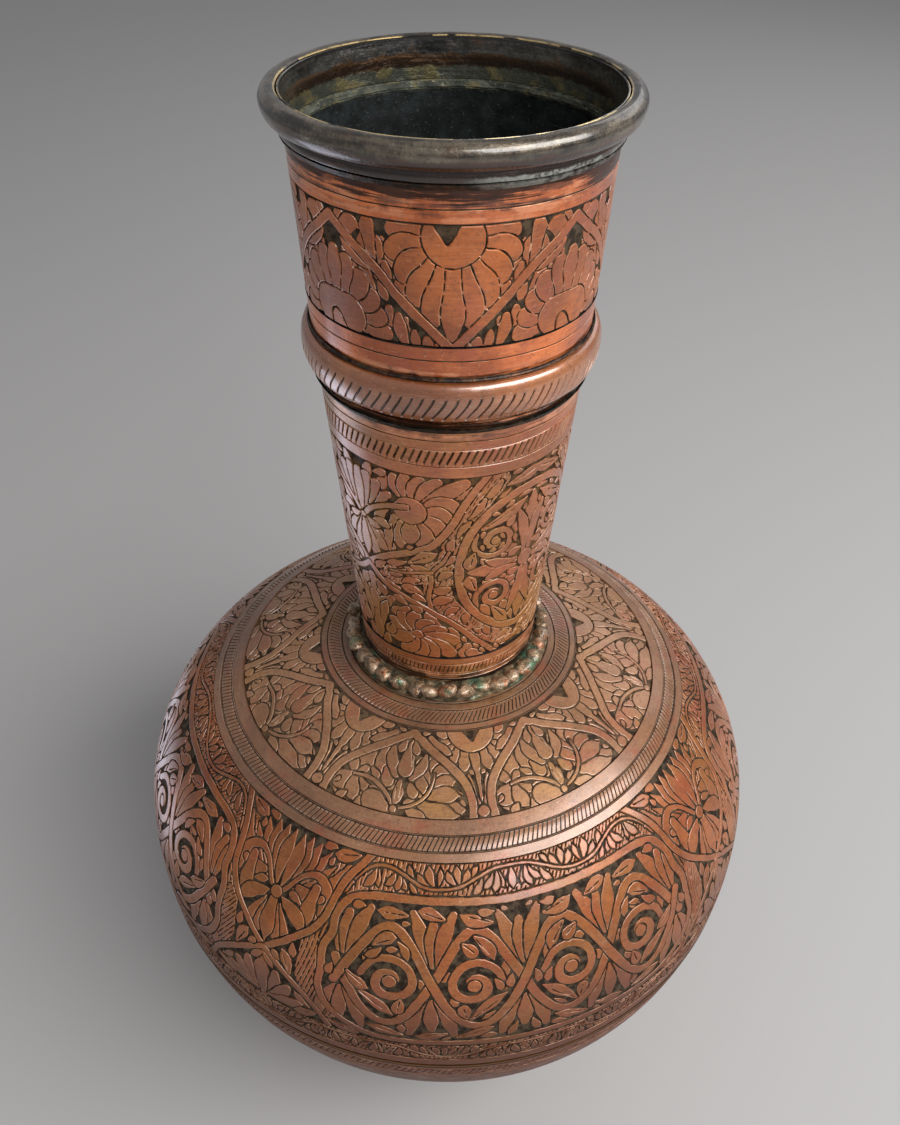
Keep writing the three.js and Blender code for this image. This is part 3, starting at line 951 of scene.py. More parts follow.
def trace(field, xs, ys):
    """The runs of points where a gridded field changes sign. Closed runs end where they start."""
    field = np.where(field == 0, 1e-9, field)
    inside = field > 0
    across = np.argwhere(inside[:, 1:] != inside[:, :-1])
    downward = np.argwhere(inside[1:] != inside[:-1])
    near, far = field[tuple(across.T)], field[across[:, 0], across[:, 1] + 1]
    high, low = field[tuple(downward.T)], field[downward[:, 0] + 1, downward[:, 1]]
    step_x, step_y = xs[1] - xs[0], ys[1] - ys[0]
    points = np.vstack([
        np.column_stack([xs[across[:, 1]] + near / (near - far) * step_x, ys[across[:, 0]]]),
        np.column_stack([xs[downward[:, 1]], ys[downward[:, 0]] + high / (high - low) * step_y]),
    ])
    level, upright = np.full(field.shape, -1), np.full(field.shape, -1)
    level[tuple(across.T)] = np.arange(len(across))
    upright[tuple(downward.T)] = len(across) + np.arange(len(downward))
    around = np.stack([level[:-1, :-1], upright[:-1, 1:], level[1:, :-1], upright[:-1, :-1]], -1)
    around = around.reshape(-1, 4)
    crossed = (around >= 0).sum(1)
    two, four = around[crossed == 2], around[crossed == 4]
    pairs = np.vstack([two[two >= 0].reshape(-1, 2), four[:, :2], four[:, 2:]])
    beside = [[] for _ in points]
    for a, b in pairs.tolist():
        beside[a].append(b)
        beside[b].append(a)
    used = bytearray(len(points))
    ends = [i for i in range(len(points)) if len(beside[i]) == 1]
    runs = []
    for start in ends + list(range(len(points))):
        if used[start]:
            continue
        run = [start]
        used[start] = 1
        while onward := [n for n in beside[run[-1]] if not used[n]]:
            run.append(onward[0])
            used[onward[0]] = 1
        if len(beside[start]) == 2:
            run.append(start)
        if len(run) > 3:
            runs.append(points[run])
    return runs


def thinned(run, tolerance):
    """Keeps only the points that a run's shape needs."""
    keep = np.zeros(len(run), bool)
    keep[[0, -1]] = True
    if np.allclose(run[0], run[-1]):
        keep[np.hypot(*(run - run[0]).T).argmax()] = True
    kept = np.flatnonzero(keep)
    spans = list(zip(kept[:-1], kept[1:]))
    while spans:
        a, b = spans.pop()
        if b - a < 2:
            continue
        chord, offset = run[b] - run[a], run[a + 1:b] - run[a]
        long = max(math.hypot(*chord), 1e-9)
        away = np.abs(offset[:, 0] * chord[1] - offset[:, 1] * chord[0]) / long
        worst = a + 1 + int(away.argmax())
        if away.max() > tolerance:
            keep[worst] = True
            spans += [(a, worst), (worst, b)]
    return run[keep]


def relief_strip(drawing, sheet, pitch=2.8, tolerance=0.05):
    """The drawing as metal: flat figures with softened edges, steep walls and a sunk ground.

    Its map has the front above, the back below it, and the two edges in a thin row between.
    """
    inside = drawing.surface()
    xs, ys = drawing.x, drawing.y
    half, height = drawing.width / 2, drawing.height
    points, edges = [], []

    def add(run):
        first = len(points)
        points.extend(map(tuple, run))
        edges.extend((first + i, first + i + 1) for i in range(len(run) - 1))

    for level in (EDGE_WIDTH, 0.0, -WALL_WIDTH):
        for run in trace(inside - level, xs, ys):
            run = thinned(run, tolerance)
            whole = [run[:1]]
            for a, b in zip(run, run[1:]):
                count = math.ceil(math.hypot(*(b - a)) / pitch)
                whole.append(a + (b - a) * np.arange(1, count + 1)[:, None] / count)
            add(np.vstack(whole))
    add([(-half, 0), (half, 0), (half, height), (-half, height), (-half, 0)])

    def depth_at(x, y):
        """How far inside the figures, read off the grid."""
        column = np.clip((x + half) / (2 * half) * (len(xs) - 1), 0, len(xs) - 1.001)
        row = np.clip(y / height * (len(ys) - 1), 0, len(ys) - 1.001)
        i, j = row.astype(int), column.astype(int)
        s, t = row - i, column - j
        upper = inside[i, j] * (1 - t) + inside[i, j + 1] * t
        return upper * (1 - s) + (inside[i + 1, j] * (1 - t) + inside[i + 1, j + 1] * t) * s

    across = np.linspace(-half, half, round(2 * half / pitch) + 1)
    downward = np.linspace(0, height, round(height / pitch) + 1)
    grid = np.array([(x, y) for y in downward for x in across])
    deep = depth_at(*grid.T)
    end = (grid[:, 1] < 1e-6) | (grid[:, 1] > height - 1e-6)
    clear = end | (deep > EDGE_WIDTH + LOOSE_MARGIN) | (deep < -WALL_WIDTH - LOOSE_MARGIN)
    points.extend(map(tuple, grid[clear]))

    def mesh_of(points, edges):
        """The points joined into triangles that keep to the edges."""
        flat, _, triangles, *_ = geometry.delaunay_2d_cdt(
            [Vector(p) for p in points], edges, [], 0, 1e-5
        )
        return np.array([tuple(point) for point in flat]), [tuple(reversed(t)) for t in triangles]

    front, front_faces = mesh_of(points, edges)
    deep = depth_at(*front.T)
    stops = (-1.0, -WALL_WIDTH, 0, EDGE_WIDTH)
    lift = np.interp(deep, stops, (-GROUND_DEPTH, -WALL_DEPTH, -EDGE_DROP, 0))
    cuts = np.interp(deep, (-WALL_WIDTH, 0, EDGE_WIDTH), (1, 0.3, 0))
    back = [(x, y) for y in downward[1:-1:2] for x in across[::2]]
    back += [(x, y) for y in (0, height) for x in across]
    back, back_faces = mesh_of(back, [])
    total = np.vstack([
        np.column_stack([front, lift]), np.column_stack([back, np.full(len(back), -sheet)]),
    ])
    faces = front_faces + [tuple(len(front) + i for i in reversed(face)) for face in back_faces]
    start, share = BACK_MAP
    rows = [np.column_stack([total[:, 0], total[:, 1] / height * FRONT_MAP])] * len(front_faces)
    rows += [np.column_stack([total[:, 0], start + total[:, 1] / height * share])] * len(back_faces)
    for y, bottom in ((0, False), (height, True)):
        outer = sorted((x, i) for i, (x, v) in enumerate(front) if abs(v - y) < 1e-4)
        inner = sorted((x, i + len(front)) for i, (x, v) in enumerate(back) if abs(v - y) < 1e-4)
        for (_, a), (_, b), (_, c), (_, d) in zip(outer, outer[1:], inner[1:], inner):
            faces.append((a, d, c, b) if bottom else (a, b, c, d))
            rows.append(np.column_stack([total[:, 0], np.where(total[:, 2] > -1, *EDGE_MAP)]))
    places = [
        (rows[k][i, 0] / (2 * half) + 0.5, rows[k][i, 1])
        for k, face in enumerate(faces) for i in face
    ]
    return flat_strip(total, faces, [*cuts, *[-1] * len(back)], places)


def engraved(
    name, drawing, outline, repeats, finish, sheet=SHEET, pitch=2.8, tolerance=0.05, **options,
):
    """A band of sheet metal engraved with a drawing that repeats round it."""
    strip = relief_strip(drawing, sheet, pitch, tolerance)
    return wrapped(name, strip, drawing.width, outline, repeats, finish, crease=13, **options)


SHELL_FOOT_Z = SEAM_Z + 1.2
BELT_FOOT_Z = 98.99
BELT_HEAD_Z = 152.0
VINE_HATCH = (1.2, 66, 0.21)
VINE_STEM = 0.62
VINE_LEAVES = 0.72
STRAND_Y = 35
STRAND_SWING = 16.5


def belt_drawing():
    drawing = Drawing(153.94, 62.0, (0.79, 0.88, 0.95, 1.0, 1.03, 1.055, 1.065), 0.16)
    side = drawing.width / 2
    lay = drawing.lay
    # A leafy vine on hatched ground fills the space between the cartouche and the outer strap.
    drawing.hatch(
        *VINE_HATCH, strap(5.2, (-56, 9), (-40, 4), (0, 4), (40, 4), (56, 9)),
        strap(3.6, (54, 10), (60, 22), (62, 34), (62, 44), (56, 54)),
    )
    vine = [
        (0, 1.7), (6, 2.1), (12, 4.0), (18, 6.3), (24, 7.1), (30, 6.5), (36, 4.0), (42, 2.2),
        (48, 3.0), (53, 7.6), (57, 15), (59.4, 27),
    ]
    drawing.petals(
        0.5, 0.3, ((0, 2.4), (0, 8.4), 1.5, 0), ((4.2, 2.8), (2.6, 7.6), 1.2, 0.5),
        ((5.0, 2.9), (6.4, 8.6), 1.5, -0.4), ((6.2, 3.0), (10.2, 7.2), 1.2, -0.7),
        ((10.2, 4.2), (13.8, 8.6), 1.3, -0.7), ((13.4, 4.0), (11.0, 0.8), 1.0, -0.4),
        ((17.2, 5.3), (14.6, 1.4), 1.3, 0.5), ((18.0, 5.5), (18.6, 0.5), 1.3, -0.2),
        ((19.0, 5.8), (22.0, 1.9), 1.3, -0.6), ((24.8, 6.3), (24.2, 1.0), 1.0, 0.3),
        ((26.0, 6.3), (28.4, 0.6), 1.6, -0.6), ((27.6, 6.2), (32.2, 2.8), 1.2, -0.6),
        ((33.0, 4.6), (35.4, 0.8), 1.1, -0.4), ((34.4, 5.4), (31.4, 8.6), 1.0, 0.4),
        ((37.4, 4.0), (35.0, 8.0), 1.2, 0.5), ((38.2, 3.6), (38.8, 8.6), 1.4, -0.2),
        ((39.6, 3.2), (43.0, 7.4), 1.3, -0.7), ((45.4, 3.4), (44.8, 8.4), 1.0, 0.3),
        ((46.4, 3.4), (49.8, 8.8), 1.5, -0.7), ((50.6, 5.8), (55.0, 3.6), 1.2, 0.4),
        ((56.0, 13.0), (60.4, 10.4), 1.2, -0.4), ((59.0, 24.0), (61.8, 18.6), 1.2, 0.4),
        scale=VINE_LEAVES,
    )
    lay(strap(VINE_STEM, *vine))
    # The cartouche: two strands cross and cross again, with a spiral in every eye.
    drawing.mirror = None
    eye = 26.0
    for middle, turn in ((-39, 1), (-13, -1), (13, 1), (39, -1)):
        spiral(drawing, (middle + turn * 1.2, 35.4), 7.8, 90 * turn + 100, turn, 1.7)
    for middle in (-52, -26, 0, 26, 52):
        for way in (-1, 1):
            for lean, far, half in ((-6.6, 13, 1.7), (0, 10.5, 1.8), (6.6, 13, 1.7)):
                root = (middle + lean * 0.22, STRAND_Y + way * 6)
                tip = (middle + lean, STRAND_Y + way * (9 + far))
                lay(petal(root, tip, half * 1.2, lean * 0.12, 0.7))
    for phase in (STRAND_SWING, -STRAND_SWING):
        crossing = [
            (x, STRAND_Y + phase * math.sin(math.pi * x / eye)) for x in np.arange(-54, 54.1, 4.5)
        ]
        lay(strap(1.6, *crossing))
    drawing.mirror = 0.0
    # The cartouche's own frame.
    lay(strap(
        1.4, (0, 10.6), (20, 10.4), (38, 10.4), (47, 11.0), (53.0, 13.4), (56.0, 18.4),
        (56.2, 24.0), (58.2, 29.4), (58.0, 37.0), (58.4, 44.0), (55.0, 51.6), (48.6, 57.2),
        (42.0, 59.8), (30, 60.3), (0, 60.1),
    ))
    # Spandrels: a spray above and hanging leaves below.
    centre = (side - 0.8, 18.6)
    tips = (
        (side - 17.4, 6.0), (side - 14.4, 2.6), (side - 9.8, 1.2), (side - 5.6, 0.8),
        (side - 1.9, 1.0),
    )
    drawing.spray(centre, 0.5, (1.3, 1.6, 1.9, 1.9, 1.6), tips, 0.8, 0.5, 0.2)
    lay(
        petal((side - 16.2, 14.6), (side - 22.6, 4.4), 2.4, 1.0, 0.7, 0.3),
        petal((side - 14.4, 12.0), (side - 24.6, 8.4), 1.7, -0.4, 0.5),
    )
    lay((
        [
            (side - 2.0, 18.8), (side - 7.2, 12.2), (side - 12.6, 10.6), (side - 16.2, 14.4),
            (side - 16.0, 20.4),
        ],
        [0.9, 0.9, 1.4, 2.1, 1.2],
    ))
    lay(petal((side - 15.0, 16.4), (side - 5.6, 16.0), 1.9, -0.8, 0.8, 0.6))
    lay(petal((side - 12.6, 14.0), (side - 11.6, 26.6), 2.2, 0.3, 0.6, 0.6))
    lay(petal((side - 2.0, 21.6), (side - 12.0, 28.6), 2.3, -1.8, 0.6, 0.5))
    for tip, half in (((side - 7.2, 33.6), 2.6), ((side - 3.6, 35.0), 2.4)):
        lay(petal((side - 0.8, 20.8), tip, half, 1.1, 0.85, 0.4))
    lay(petal((side, 21.0), (side, 37.4), 2.4, 0, 0.4, 0.5))
    lay(disc(side, 20.0, 2.1))
    lay(petal((side, 61.0), (side, 42.4), 3.0, 0, 0.5, 0.5))
    tips = ((side - 5.4, 46.0), (side - 10.0, 50.0), (side - 14.2, 55.4))
    drawing.spray((side - 2.0, 60.0), 0, (1.8, 1.9, 1.8), tips, 0.8, 0.8)
    # The outer straps.
    lay(strap(
        1.25, (side - 29.0, -1.0), (side - 25.0, 3.6), (side - 21.4, 8.6), (side - 19.4, 14.0),
        (side - 17.6, 20.4), (side - 14.4, 25.6), (side - 10.2, 29.8), (side - 5.4, 34.2),
        (side, 39.2),
    ))
    lay(strap(
        1.25, (side, 39.2), (side - 6.0, 43.4), (side - 11.6, 48.0), (side - 17.4, 54.0),
        (side - 22.0, 62.8),
    ))
    drawing.sow(0.6, 0.7, 1.9, 5)
    return drawing


belt = engraved(
    "belt_copper", belt_drawing(), down_body(BELT_HEAD_Z, BELT_FOOT_Z), 4, belt_copper,
    start=13, dents=BODY_DENTS, drift=0.5, map_rows=4, pitch=3.2, tolerance=0.075,
)
fitted(belt, "copper", "upper_body")


# Foot of the upper shell
# The lowest band of the copper shell, engraved with a second vine on hatched ground. Under the
# vine, a plain ring runs down to the seam.
def foot_vine_drawing():
    drawing = Drawing(51.2, 13.8)
    lay = drawing.lay
    drawing.hatch(*VINE_HATCH, strap(4.2, (-30, 4.4), (30, 4.4)))
    vine = [(0, 7.0), (5, 6.4), (9, 4.4), (13, 2.4), (18, 1.7), (23, 2.0), (25.6, 2.1)]
    drawing.petals(
        0.5, 0.3, ((0, 5.8), (0, 0.6), 1.6, 0), ((1.6, 5.6), (3.6, 1.2), 1.3, 0.5),
        ((4.6, 5.4), (6.6, 0.7), 1.2, -0.4), ((7.4, 4.3), (9.8, 0.9), 1.2, 0.4),
        ((9.4, 5.4), (6.6, 8.0), 1.1, 0.5), ((11.6, 4.2), (9.9, 8.2), 1.4, 0.5),
        ((12.8, 3.6), (14.2, 8.2), 1.4, -0.6), ((16.4, 2.8), (17.4, 6.4), 0.9, 0.3),
        ((18.6, 2.6), (17.4, 8.2), 1.2, 0.5), ((19.6, 2.6), (21.4, 8.2), 1.5, -0.6),
        ((21.0, 2.8), (24.4, 5.4), 1.0, -0.5), ((25.6, 2.8), (25.6, 8.2), 1.2, 0),
        scale=VINE_LEAVES,
    )
    lay(strap(VINE_STEM, *vine))
    lay(strap(2.2, (-30, 11.1), (30, 11.1)))
    return drawing


shell_foot = engraved(
    "shell_foot_copper", foot_vine_drawing(), down_body(BELT_FOOT_Z, SHELL_FOOT_Z), 12, belt_copper,
    dents=BODY_DENTS, drift=0.3, map_rows=4, pitch=3.2, tolerance=0.06,
)
fitted(shell_foot, "copper", "upper_body")


# Shoulder rings
# Two plain burnished rings on the copper shell, scored with a compass, with a row of slanting
# chisel cuts between them. The rings are the most rubbed part of the shoulder.
ARCADE_OUT = 67.5
ARCADE_IN = 41.9

shoulder_copper = engraved_finish(
    "shoulder copper", "966a48", "b98660", "b98444", "e6c6aa", "66513c", "35281c",
)
ring_copper = engraved_finish(
    "rubbed ring copper", "875f44", "a87856", "9e6b42", "e2c4ae", shine=0.95,
)
rings = turned(
    "shoulder_rings_copper", shell_outline(shoulder_height(ARCADE_OUT), BELT_HEAD_Z), ring_copper,
    repeats=BODY_RING_CUTS, longest=1.5, lines=lines_at(FULL_LINE, 0, 4.6, 9.3),
    cuts=(4.7, 9.2, 1.9, 0.26, BODY_CUTS_DEPTH), dents=BODY_DENTS, drift=0.25,
)
fitted(rings, "copper", "upper_body")


# Shoulder arcade
# Eight ogee arches engraved round the copper shoulder, each over a spray of leaves with a bud,
# and a knob on a stalk between each two arches. Its ground is chiselled away as the belt's is.
def arcade_drawing():
    drawing = Drawing(43.98, 27.2, (0.745, 0.84, 0.93, 1.02, 1.1, 1.17, 1.2))
    knob = drawing.width / 2
    lay = drawing.lay
    # Between the arches: half a daisy over a knob on a stalk.
    for root, tip, half in (
        ((15.6, 4.4), (10.6, 1.6), 1.2), ((15.6, 3.8), (10.2, 3.9), 1.5),
        ((16.0, 5.2), (12.4, 6.9), 1.5), ((16.8, 6.4), (14.6, 10.4), 1.8),
        ((18.8, 7.2), (17.7, 13.4), 1.7), ((14.2, 1.2), (8.6, 0.6), 1.3),
    ):
        lay(petal(root, tip, half, 0.2, 0.9, 0.7))
    lay((
        [(knob, 7.0), (knob, 9.4), (knob, 13.4), (knob, 18.0), (knob, 24.0)],
        [1.5, 1.7, 1.2, 0.7, 0.7],
    ))
    lay(disc(knob, 0.4, 7.1))
    # Behind everything under an arch, broad leaves that fill it.
    drawing.petals(
        0.6, 0.6, ((3.0, 15.0), (7.6, 8.4), 2.0, 0.4), ((4.0, 16.6), (12.4, 11.6), 2.4, 0.5),
        ((6.0, 19.0), (15.8, 15.8), 2.2, 0.4), ((8.0, 22.0), (17.6, 19.8), 2.0, 0.4),
        ((9.0, 24.8), (17.8, 24.4), 2.3, 0.2), ((4.6, 26.4), (12.6, 26.8), 2.2, -0.3),
        ((3.2, 20.4), (7.6, 17.2), 1.8, 0.2), ((2.4, 23.4), (8.2, 21.0), 1.6, 0.4),
        ((2.0, 17.6), (3.4, 20.6), 1.2, 0.0), ((knob - 0.9, 22.6), (knob - 2.9, 13.4), 1.0, 0.3),
        ((6.8, 2.6), (14.6, 7.8), 1.5, -0.4),
    )
    drawing.mirror = None
    # To the left of the bud, a flower of four petals on a bent stem.
    drawing.petals(
        0.5, 0.35, ((-8.6, 17.4), (-12.6, 9.6), 2.62, 0.9), ((-8.2, 17.0), (-6.6, 7.6), 2.75, -0.9),
        ((-9.4, 15.6), (-6.6, 18.8), 1.12, 0.3), ((-5.4, 14.6), (-3.6, 20.0), 1.88, 0.5),
        ((-13.4, 18.8), (-17.0, 14.2), 1.5, -0.3), ((-12.6, 18.6), (-9.8, 15.6), 1.12, 0.2),
        ((-13.2, 19.2), (-18.2, 23.2), 2.75, 0.6), ((-12.6, 19.4), (-10.6, 26.6), 2.12, -0.6),
        ((-13.2, 24.8), (-15.6, 27.0), 1.12, 0.3), ((-1.6, 25.6), (-8.8, 22.6), 3.0, 0.9),
    )
    lay((
        [(-0.6, 25.0), (-2.8, 22.0), (-6.0, 19.6), (-9.6, 18.5), (-13.4, 18.9)],
        [0.7, 0.75, 0.8, 0.75, 0.6],
    ))
    # To its right, a spray of pointed leaves.
    drawing.petals(
        0.4, 0.35, ((2.4, 17.4), (5.0, 21.4), 1.6, -0.4), ((7.4, 20.4), (3.8, 14.2), 2.1, -0.6),
        ((8.8, 17.4), (6.2, 10.2), 2.0, -0.6), ((9.3, 14.6), (10.2, 8.8), 1.9, 0.4),
        ((9.2, 16.2), (13.8, 11.6), 2.1, 0.7), ((8.4, 18.8), (15.8, 15.8), 2.2, 0.7),
        ((7.2, 21.0), (17.0, 20.4), 2.3, 0.7), ((5.4, 22.6), (16.4, 26.2), 2.6, -0.9),
        ((2.6, 24.6), (8.4, 27.6), 1.7, -0.5),
    )
    lay((
        [(0.6, 25.2), (4.2, 23.6), (7.2, 20.8), (8.9, 17.2), (9.4, 13.6)],
        [0.6, 0.7, 0.7, 0.6, 0.35],
    ))
    lay(([(-0.4, 24.4), (-0.1, 21.2), (-0.4, 17.2)], [0.5, 1.8, 0.8]))
    drawing.score(
        ([(-0.9, 18.6), (-0.6, 22.6)], [0.16, 0.14]), ([(0.4, 18.4), (0.5, 22.2)], [0.16, 0.14]),
    )
    # The bud: a drop between two wrapping leaves.
    lay(
        ([(-5.2, 6.9), (-4.7, 11.0), (-2.2, 15.2)], [0.6, 1.9, 1.6]),
        ([(6.0, 8.2), (5.2, 12.2), (2.6, 15.4)], [0.6, 1.8, 1.4]),
    )
    lay(([(0.4, 3.6), (0.3, 8.6), (0.3, 13.4)], [0.35, 1.9, 2.6]))
    drawing.score(([(1.0, 5.4), (2.0, 12.4)], [0.16, 0.18]))
    lay(disc(-0.5, 25.6, 1.25))
    drawing.mirror = 0.0
    lay(strap(
        1.45, (0, 1.5), (4.2, 4.0), (8.2, 6.9), (12.0, 9.7), (15.6, 13.2), (18.2, 16.8),
        (19.3, 20.6), (19.5, 24.0), (19.2, 28.0),
    ))
    lay(disc(knob, 25.2, 1.9))
    drawing.sow(0.4, 0.7, 1.5, 3)
    drawing.cut(([(knob, -0.8), (knob, 1.0), (knob, 3.4)], [2.6, 1.6, 0.4]))
    return drawing


arcade = engraved(
    "shoulder_arcade_copper", arcade_drawing(),
    down_body(shoulder_height(ARCADE_IN), shoulder_height(ARCADE_OUT)), 8, shoulder_copper,
    start=-13.2, dents=BODY_DENTS, drift=0.4, map_rows=4,
)
fitted(arcade, "copper", "upper_body")


# Collar rings
# The inner edge of the copper shell, round the hole that the neck stands in: a plain ring scored
# once, a row of short slanting cuts between two lines, and a line at the edge. It is browner
# than the rest of the shoulder.
NECK_HOLE_RADIUS = 28
COLLAR_CUTS = 168
collar_band = shell_outline(shoulder_height(NECK_HOLE_RADIUS), shoulder_height(ARCADE_IN))
collar_copper = engraved_finish("collar copper", "7f5b43", "9d7254", "95693f", "dabb9f")
collar = turned(
    "collar_rings_copper", collar_band, collar_copper, repeats=COLLAR_CUTS, longest=1.5,
    lines=lines_at(FULL_LINE, 4.4, 6.9, 11.7, 13.97), cuts=(7.1, 11.5, 2.6, 0.28, 0.28),
    dents=BODY_DENTS, drift=0.15,
)
fitted(collar, "copper", "upper_body")


# Solder at the foot of the neck
# Soft solder run thick round the joint of neck and shell. It is lumpy, grey where it is rubbed
# and green with verdigris where it is not.
BARE_SOLDER_SHEEN = "a3a69f"


def front_right(paint):
    """1 on the side of the neck that faces the front right, 0 on the others."""
    return (paint.x - paint.y * 1.4).between(57 * MM, 67 * MM)


def solder_finish(name, grey, bright, green, share, worn_sheen=0.0):
    """Lumpy solder with a share of verdigris. At the front right it is pale in places: bare solder
    and a painted highlight.
    """
    paint = Paint(name)
    lump = paint.noise(2.4, 4)
    cloud = paint.noise(9, 3)
    base = paint.mix(lump.between(0.4, 0.7), colour(grey), colour(bright))
    # Pale bare solder and a painted highlight, on the side that faces the front right.
    bare = front_right(paint) * (cloud + lump).between(0.8, 1.1) * worn_sheen
    base = paint.mix(bare, base, colour(BARE_SOLDER_SHEEN))
    base = paint.mix(cloud.between(0.62 - share * 0.3, 0.75 - share * 0.2), base, colour(green))
    base = paint.mix(paint.noise(0.9, 3).between(0.6, 0.72) * 0.7, base, colour("1f201c"))
    normal = paint.bump(lump, 0.35, paint.bump(paint.noise(0.7, 3), 0.08))
    return paint.finish(base, 0.55, 0.42 + (cloud - 0.5) * 0.3, normal)


LOWER_NECK_RADIUS = 27.1
LOWER_NECK_SLOPE = 0.0848
LOWER_NECK_DATUM_Z = 170
SOLDER_GAP = 0.2


def lower_neck(z):
    return LOWER_NECK_RADIUS + LOWER_NECK_SLOPE * (z - LOWER_NECK_DATUM_Z)


collar_green = solder_finish("green solder", "524b3a", "b39c7c", "587762", 0.4)
bed_in = lower_neck(LOWER_NECK_DATUM_Z) + SOLDER_GAP
bed_profile = (
    (bed_in, 4.6), (30.6, 5.0), (31.7, 3.4), (32.2, 1.5), (32.8, 0.7), (33.0, 0.1), (bed_in, 0.1),
    (bed_in, 4.6),
)
bed_outline = [(radius, shoulder_height(radius) + rise) for radius, rise in bed_profile]
bed = turned(
    "neck_foot_solder_bed", bed_outline, collar_green, columns=384, longest=0.5, dents=(2.2, 3.2)
)
fitted(bed, "green_solder", "neck_foot_solder")


# Beaded ring
# A string of cast beads laid on the solder, no two the same size, clogged with solder and worn
# bright on top, with pale patches that are partly painted glints.
PEARL_RING_RADIUS = 30.5
PEARL_RADIUS = 2.5
PEARL_Z = 171.85
PEARLS = 36


def beads_tree():
    """Sets beads round a ring, each turned, sized and moved a little by chance."""
    tree = bpy.data.node_groups.new("beads", "GeometryNodeTree")
    sockets = (
        ("Bead", "Geometry"), ("Count", "Int"), ("Ring Radius", "Float"), ("Ring Height", "Float"),
        ("Unevenness", "Float"), ("Seed", "Int"), ("Map Rows", "Int"), ("Finish", "Material"),
    )
    graph, wanted = tree_with(tree, sockets)

    def chance(low, high, offset):
        values = {0: low, 1: high, "Seed": wanted["Seed"] + offset}
        return graph.node("FunctionNodeRandomValue", values, data_type="FLOAT_VECTOR")

    ring = graph.node(
        "GeometryNodeMeshCircle", {"Vertices": wanted["Count"], "Radius": wanted["Ring Radius"]},
    )
    jitter = graph.vectors("MULTIPLY", chance((-1, -1, -0.8), (1, 1, 0.1), 1), wanted["Unevenness"])
    shift = graph.vectors("ADD", jitter, graph.joined(0, 0, wanted["Ring Height"]))
    ring = graph.node("GeometryNodeSetPosition", {"Geometry": ring, "Offset": shift})
    around = graph.node("GeometryNodeInputIndex") / wanted["Count"] * math.tau
    tilt = graph.vectors(
        "ADD", chance((-0.4, -0.4, -0.3), (0.4, 0.4, 0.3), 2), graph.joined(0, 0, around),
    )
    beads = graph.node(
        "GeometryNodeInstanceOnPoints",
        {
            "Points": ring, "Instance": wanted["Bead"],
            "Scale": chance((0.8, 0.95, 0.6), (1.2, 1.5, 1.0), 3), "Rotation": tilt,
        },
    )
    solid = in_rows(graph, beads, wanted["Count"], wanted["Map Rows"])
    painted = graph.node(
        "GeometryNodeSetMaterial", {"Geometry": solid, "Material": wanted["Finish"]},
    )
    graph.node("NodeGroupOutput", {"Piece": painted}, give=None)
    return tree


def bead_mesh(radius, sides, rings):
    """One cast bead, a little lumpy, with its map unrolled."""
    points, faces, places = [], [], []
    for i in range(rings + 1):
        high = math.pi * i / rings
        for j in range(sides):
            turn = math.tau * j / sides
            lump = 1 + 0.13 * math.sin(high) * math.sin(3 * turn + 4 * high)
            far, rise = radius * lump * math.sin(high), radius * 0.9 * math.cos(high)
            points.append((far * math.cos(turn), far * math.sin(turn), rise))
    last = rings * sides
    for i in range(rings):
        for j in range(sides):
            onward = (j + 1) % sides
            high, low = i * sides, (i + 1) * sides
            corners = [high + j, low + j, low + onward, high + onward]
            spots = [(j, i), (j, i + 1), (j + 1, i + 1), (j + 1, i)]
            # A face at a pole has three corners, and all of them there meet in one point.
            drop = {0: 3, rings - 1: 2}.get(i)
            kept = [k for k in range(4) if k != drop]
            faces.append([0 if corners[k] < sides else min(corners[k], last) for k in kept])
            places += [(spots[k][0] / sides, spots[k][1] / rings) for k in kept]
    return flat_strip(np.array(points), faces, [0] * len(points), places)


def bead_finish():
    paint = Paint("clogged beads")
    lump = paint.noise(2.6, 3)
    cloud = paint.noise(7, 3)
    base = paint.mix(lump.between(0.35, 0.65), colour("67543c"), colour("c4a586"))
    base = paint.mix(paint.noise(4, 3).between(0.55, 0.66) * 0.8, base, colour("a8643e"))
    base = paint.mix(cloud.between(0.54, 0.66) * 0.9, base, colour("557558"))
    # Pale cream patches: worn metal and painted glints.
    base = paint.mix(cloud.between(0.42, 0.3) * 0.6, base, colour("dcc0ac"))
    base = paint.mix(paint.noise(1.3, 3).between(0.54, 0.68) * 0.85, base, colour("2e2619"))
    normal = paint.bump(paint.noise(1.6, 4), 0.7, paint.bump(paint.noise(0.8, 3), 0.1))
    return paint.finish(base, 0.5, lump * 0.35 + 0.15, normal, 1.1 - lump * 0.5, 0.09)


pearls = as_object("beaded_ring_metal", bead_mesh(PEARL_RADIUS, 14, 9))
run_tree(pearls, beads_tree(), {
    "Count": PEARLS, "Ring Radius": PEARL_RING_RADIUS * MM, "Ring Height": PEARL_Z * MM,
    "Unevenness": 0.5 * MM, "Seed": 7, "Map Rows": 4, "Finish": bead_finish(),
}, 60)
fitted(pearls, "green_solder", "pearl_ring")


# Lower neck foot
# The plain foot of the lower neck, a tube bent from copper sheet that stands in the hole of the
# shoulder. A ring of short cuts runs round it between scored lines.
NECK_FOOT_Z = 164
NECK_JOINT_Z = 270
NECK_TOP_Z = 328.2
NECK_LAP = 9
NECK_SHEET = 1.35
PANEL_LOW_FOOT_Z = 183.1
PANEL_LOW_HEAD_Z = 252.5
NECK_DENTS = (0.25, 16)
NECK_FOOT_CUTS = 132


def tube_outline(radius, top, bottom):
    """A band of tube: its outside from top to bottom, its inside back up, and its top edge."""
    outside = [(radius(z), z) for z in np.linspace(top, bottom, 3)]
    inside = [(r - NECK_SHEET, z) for r, z in outside[::-1]]
    return [*outside, *inside, (radius(top) - 0.1, top), outside[0]]
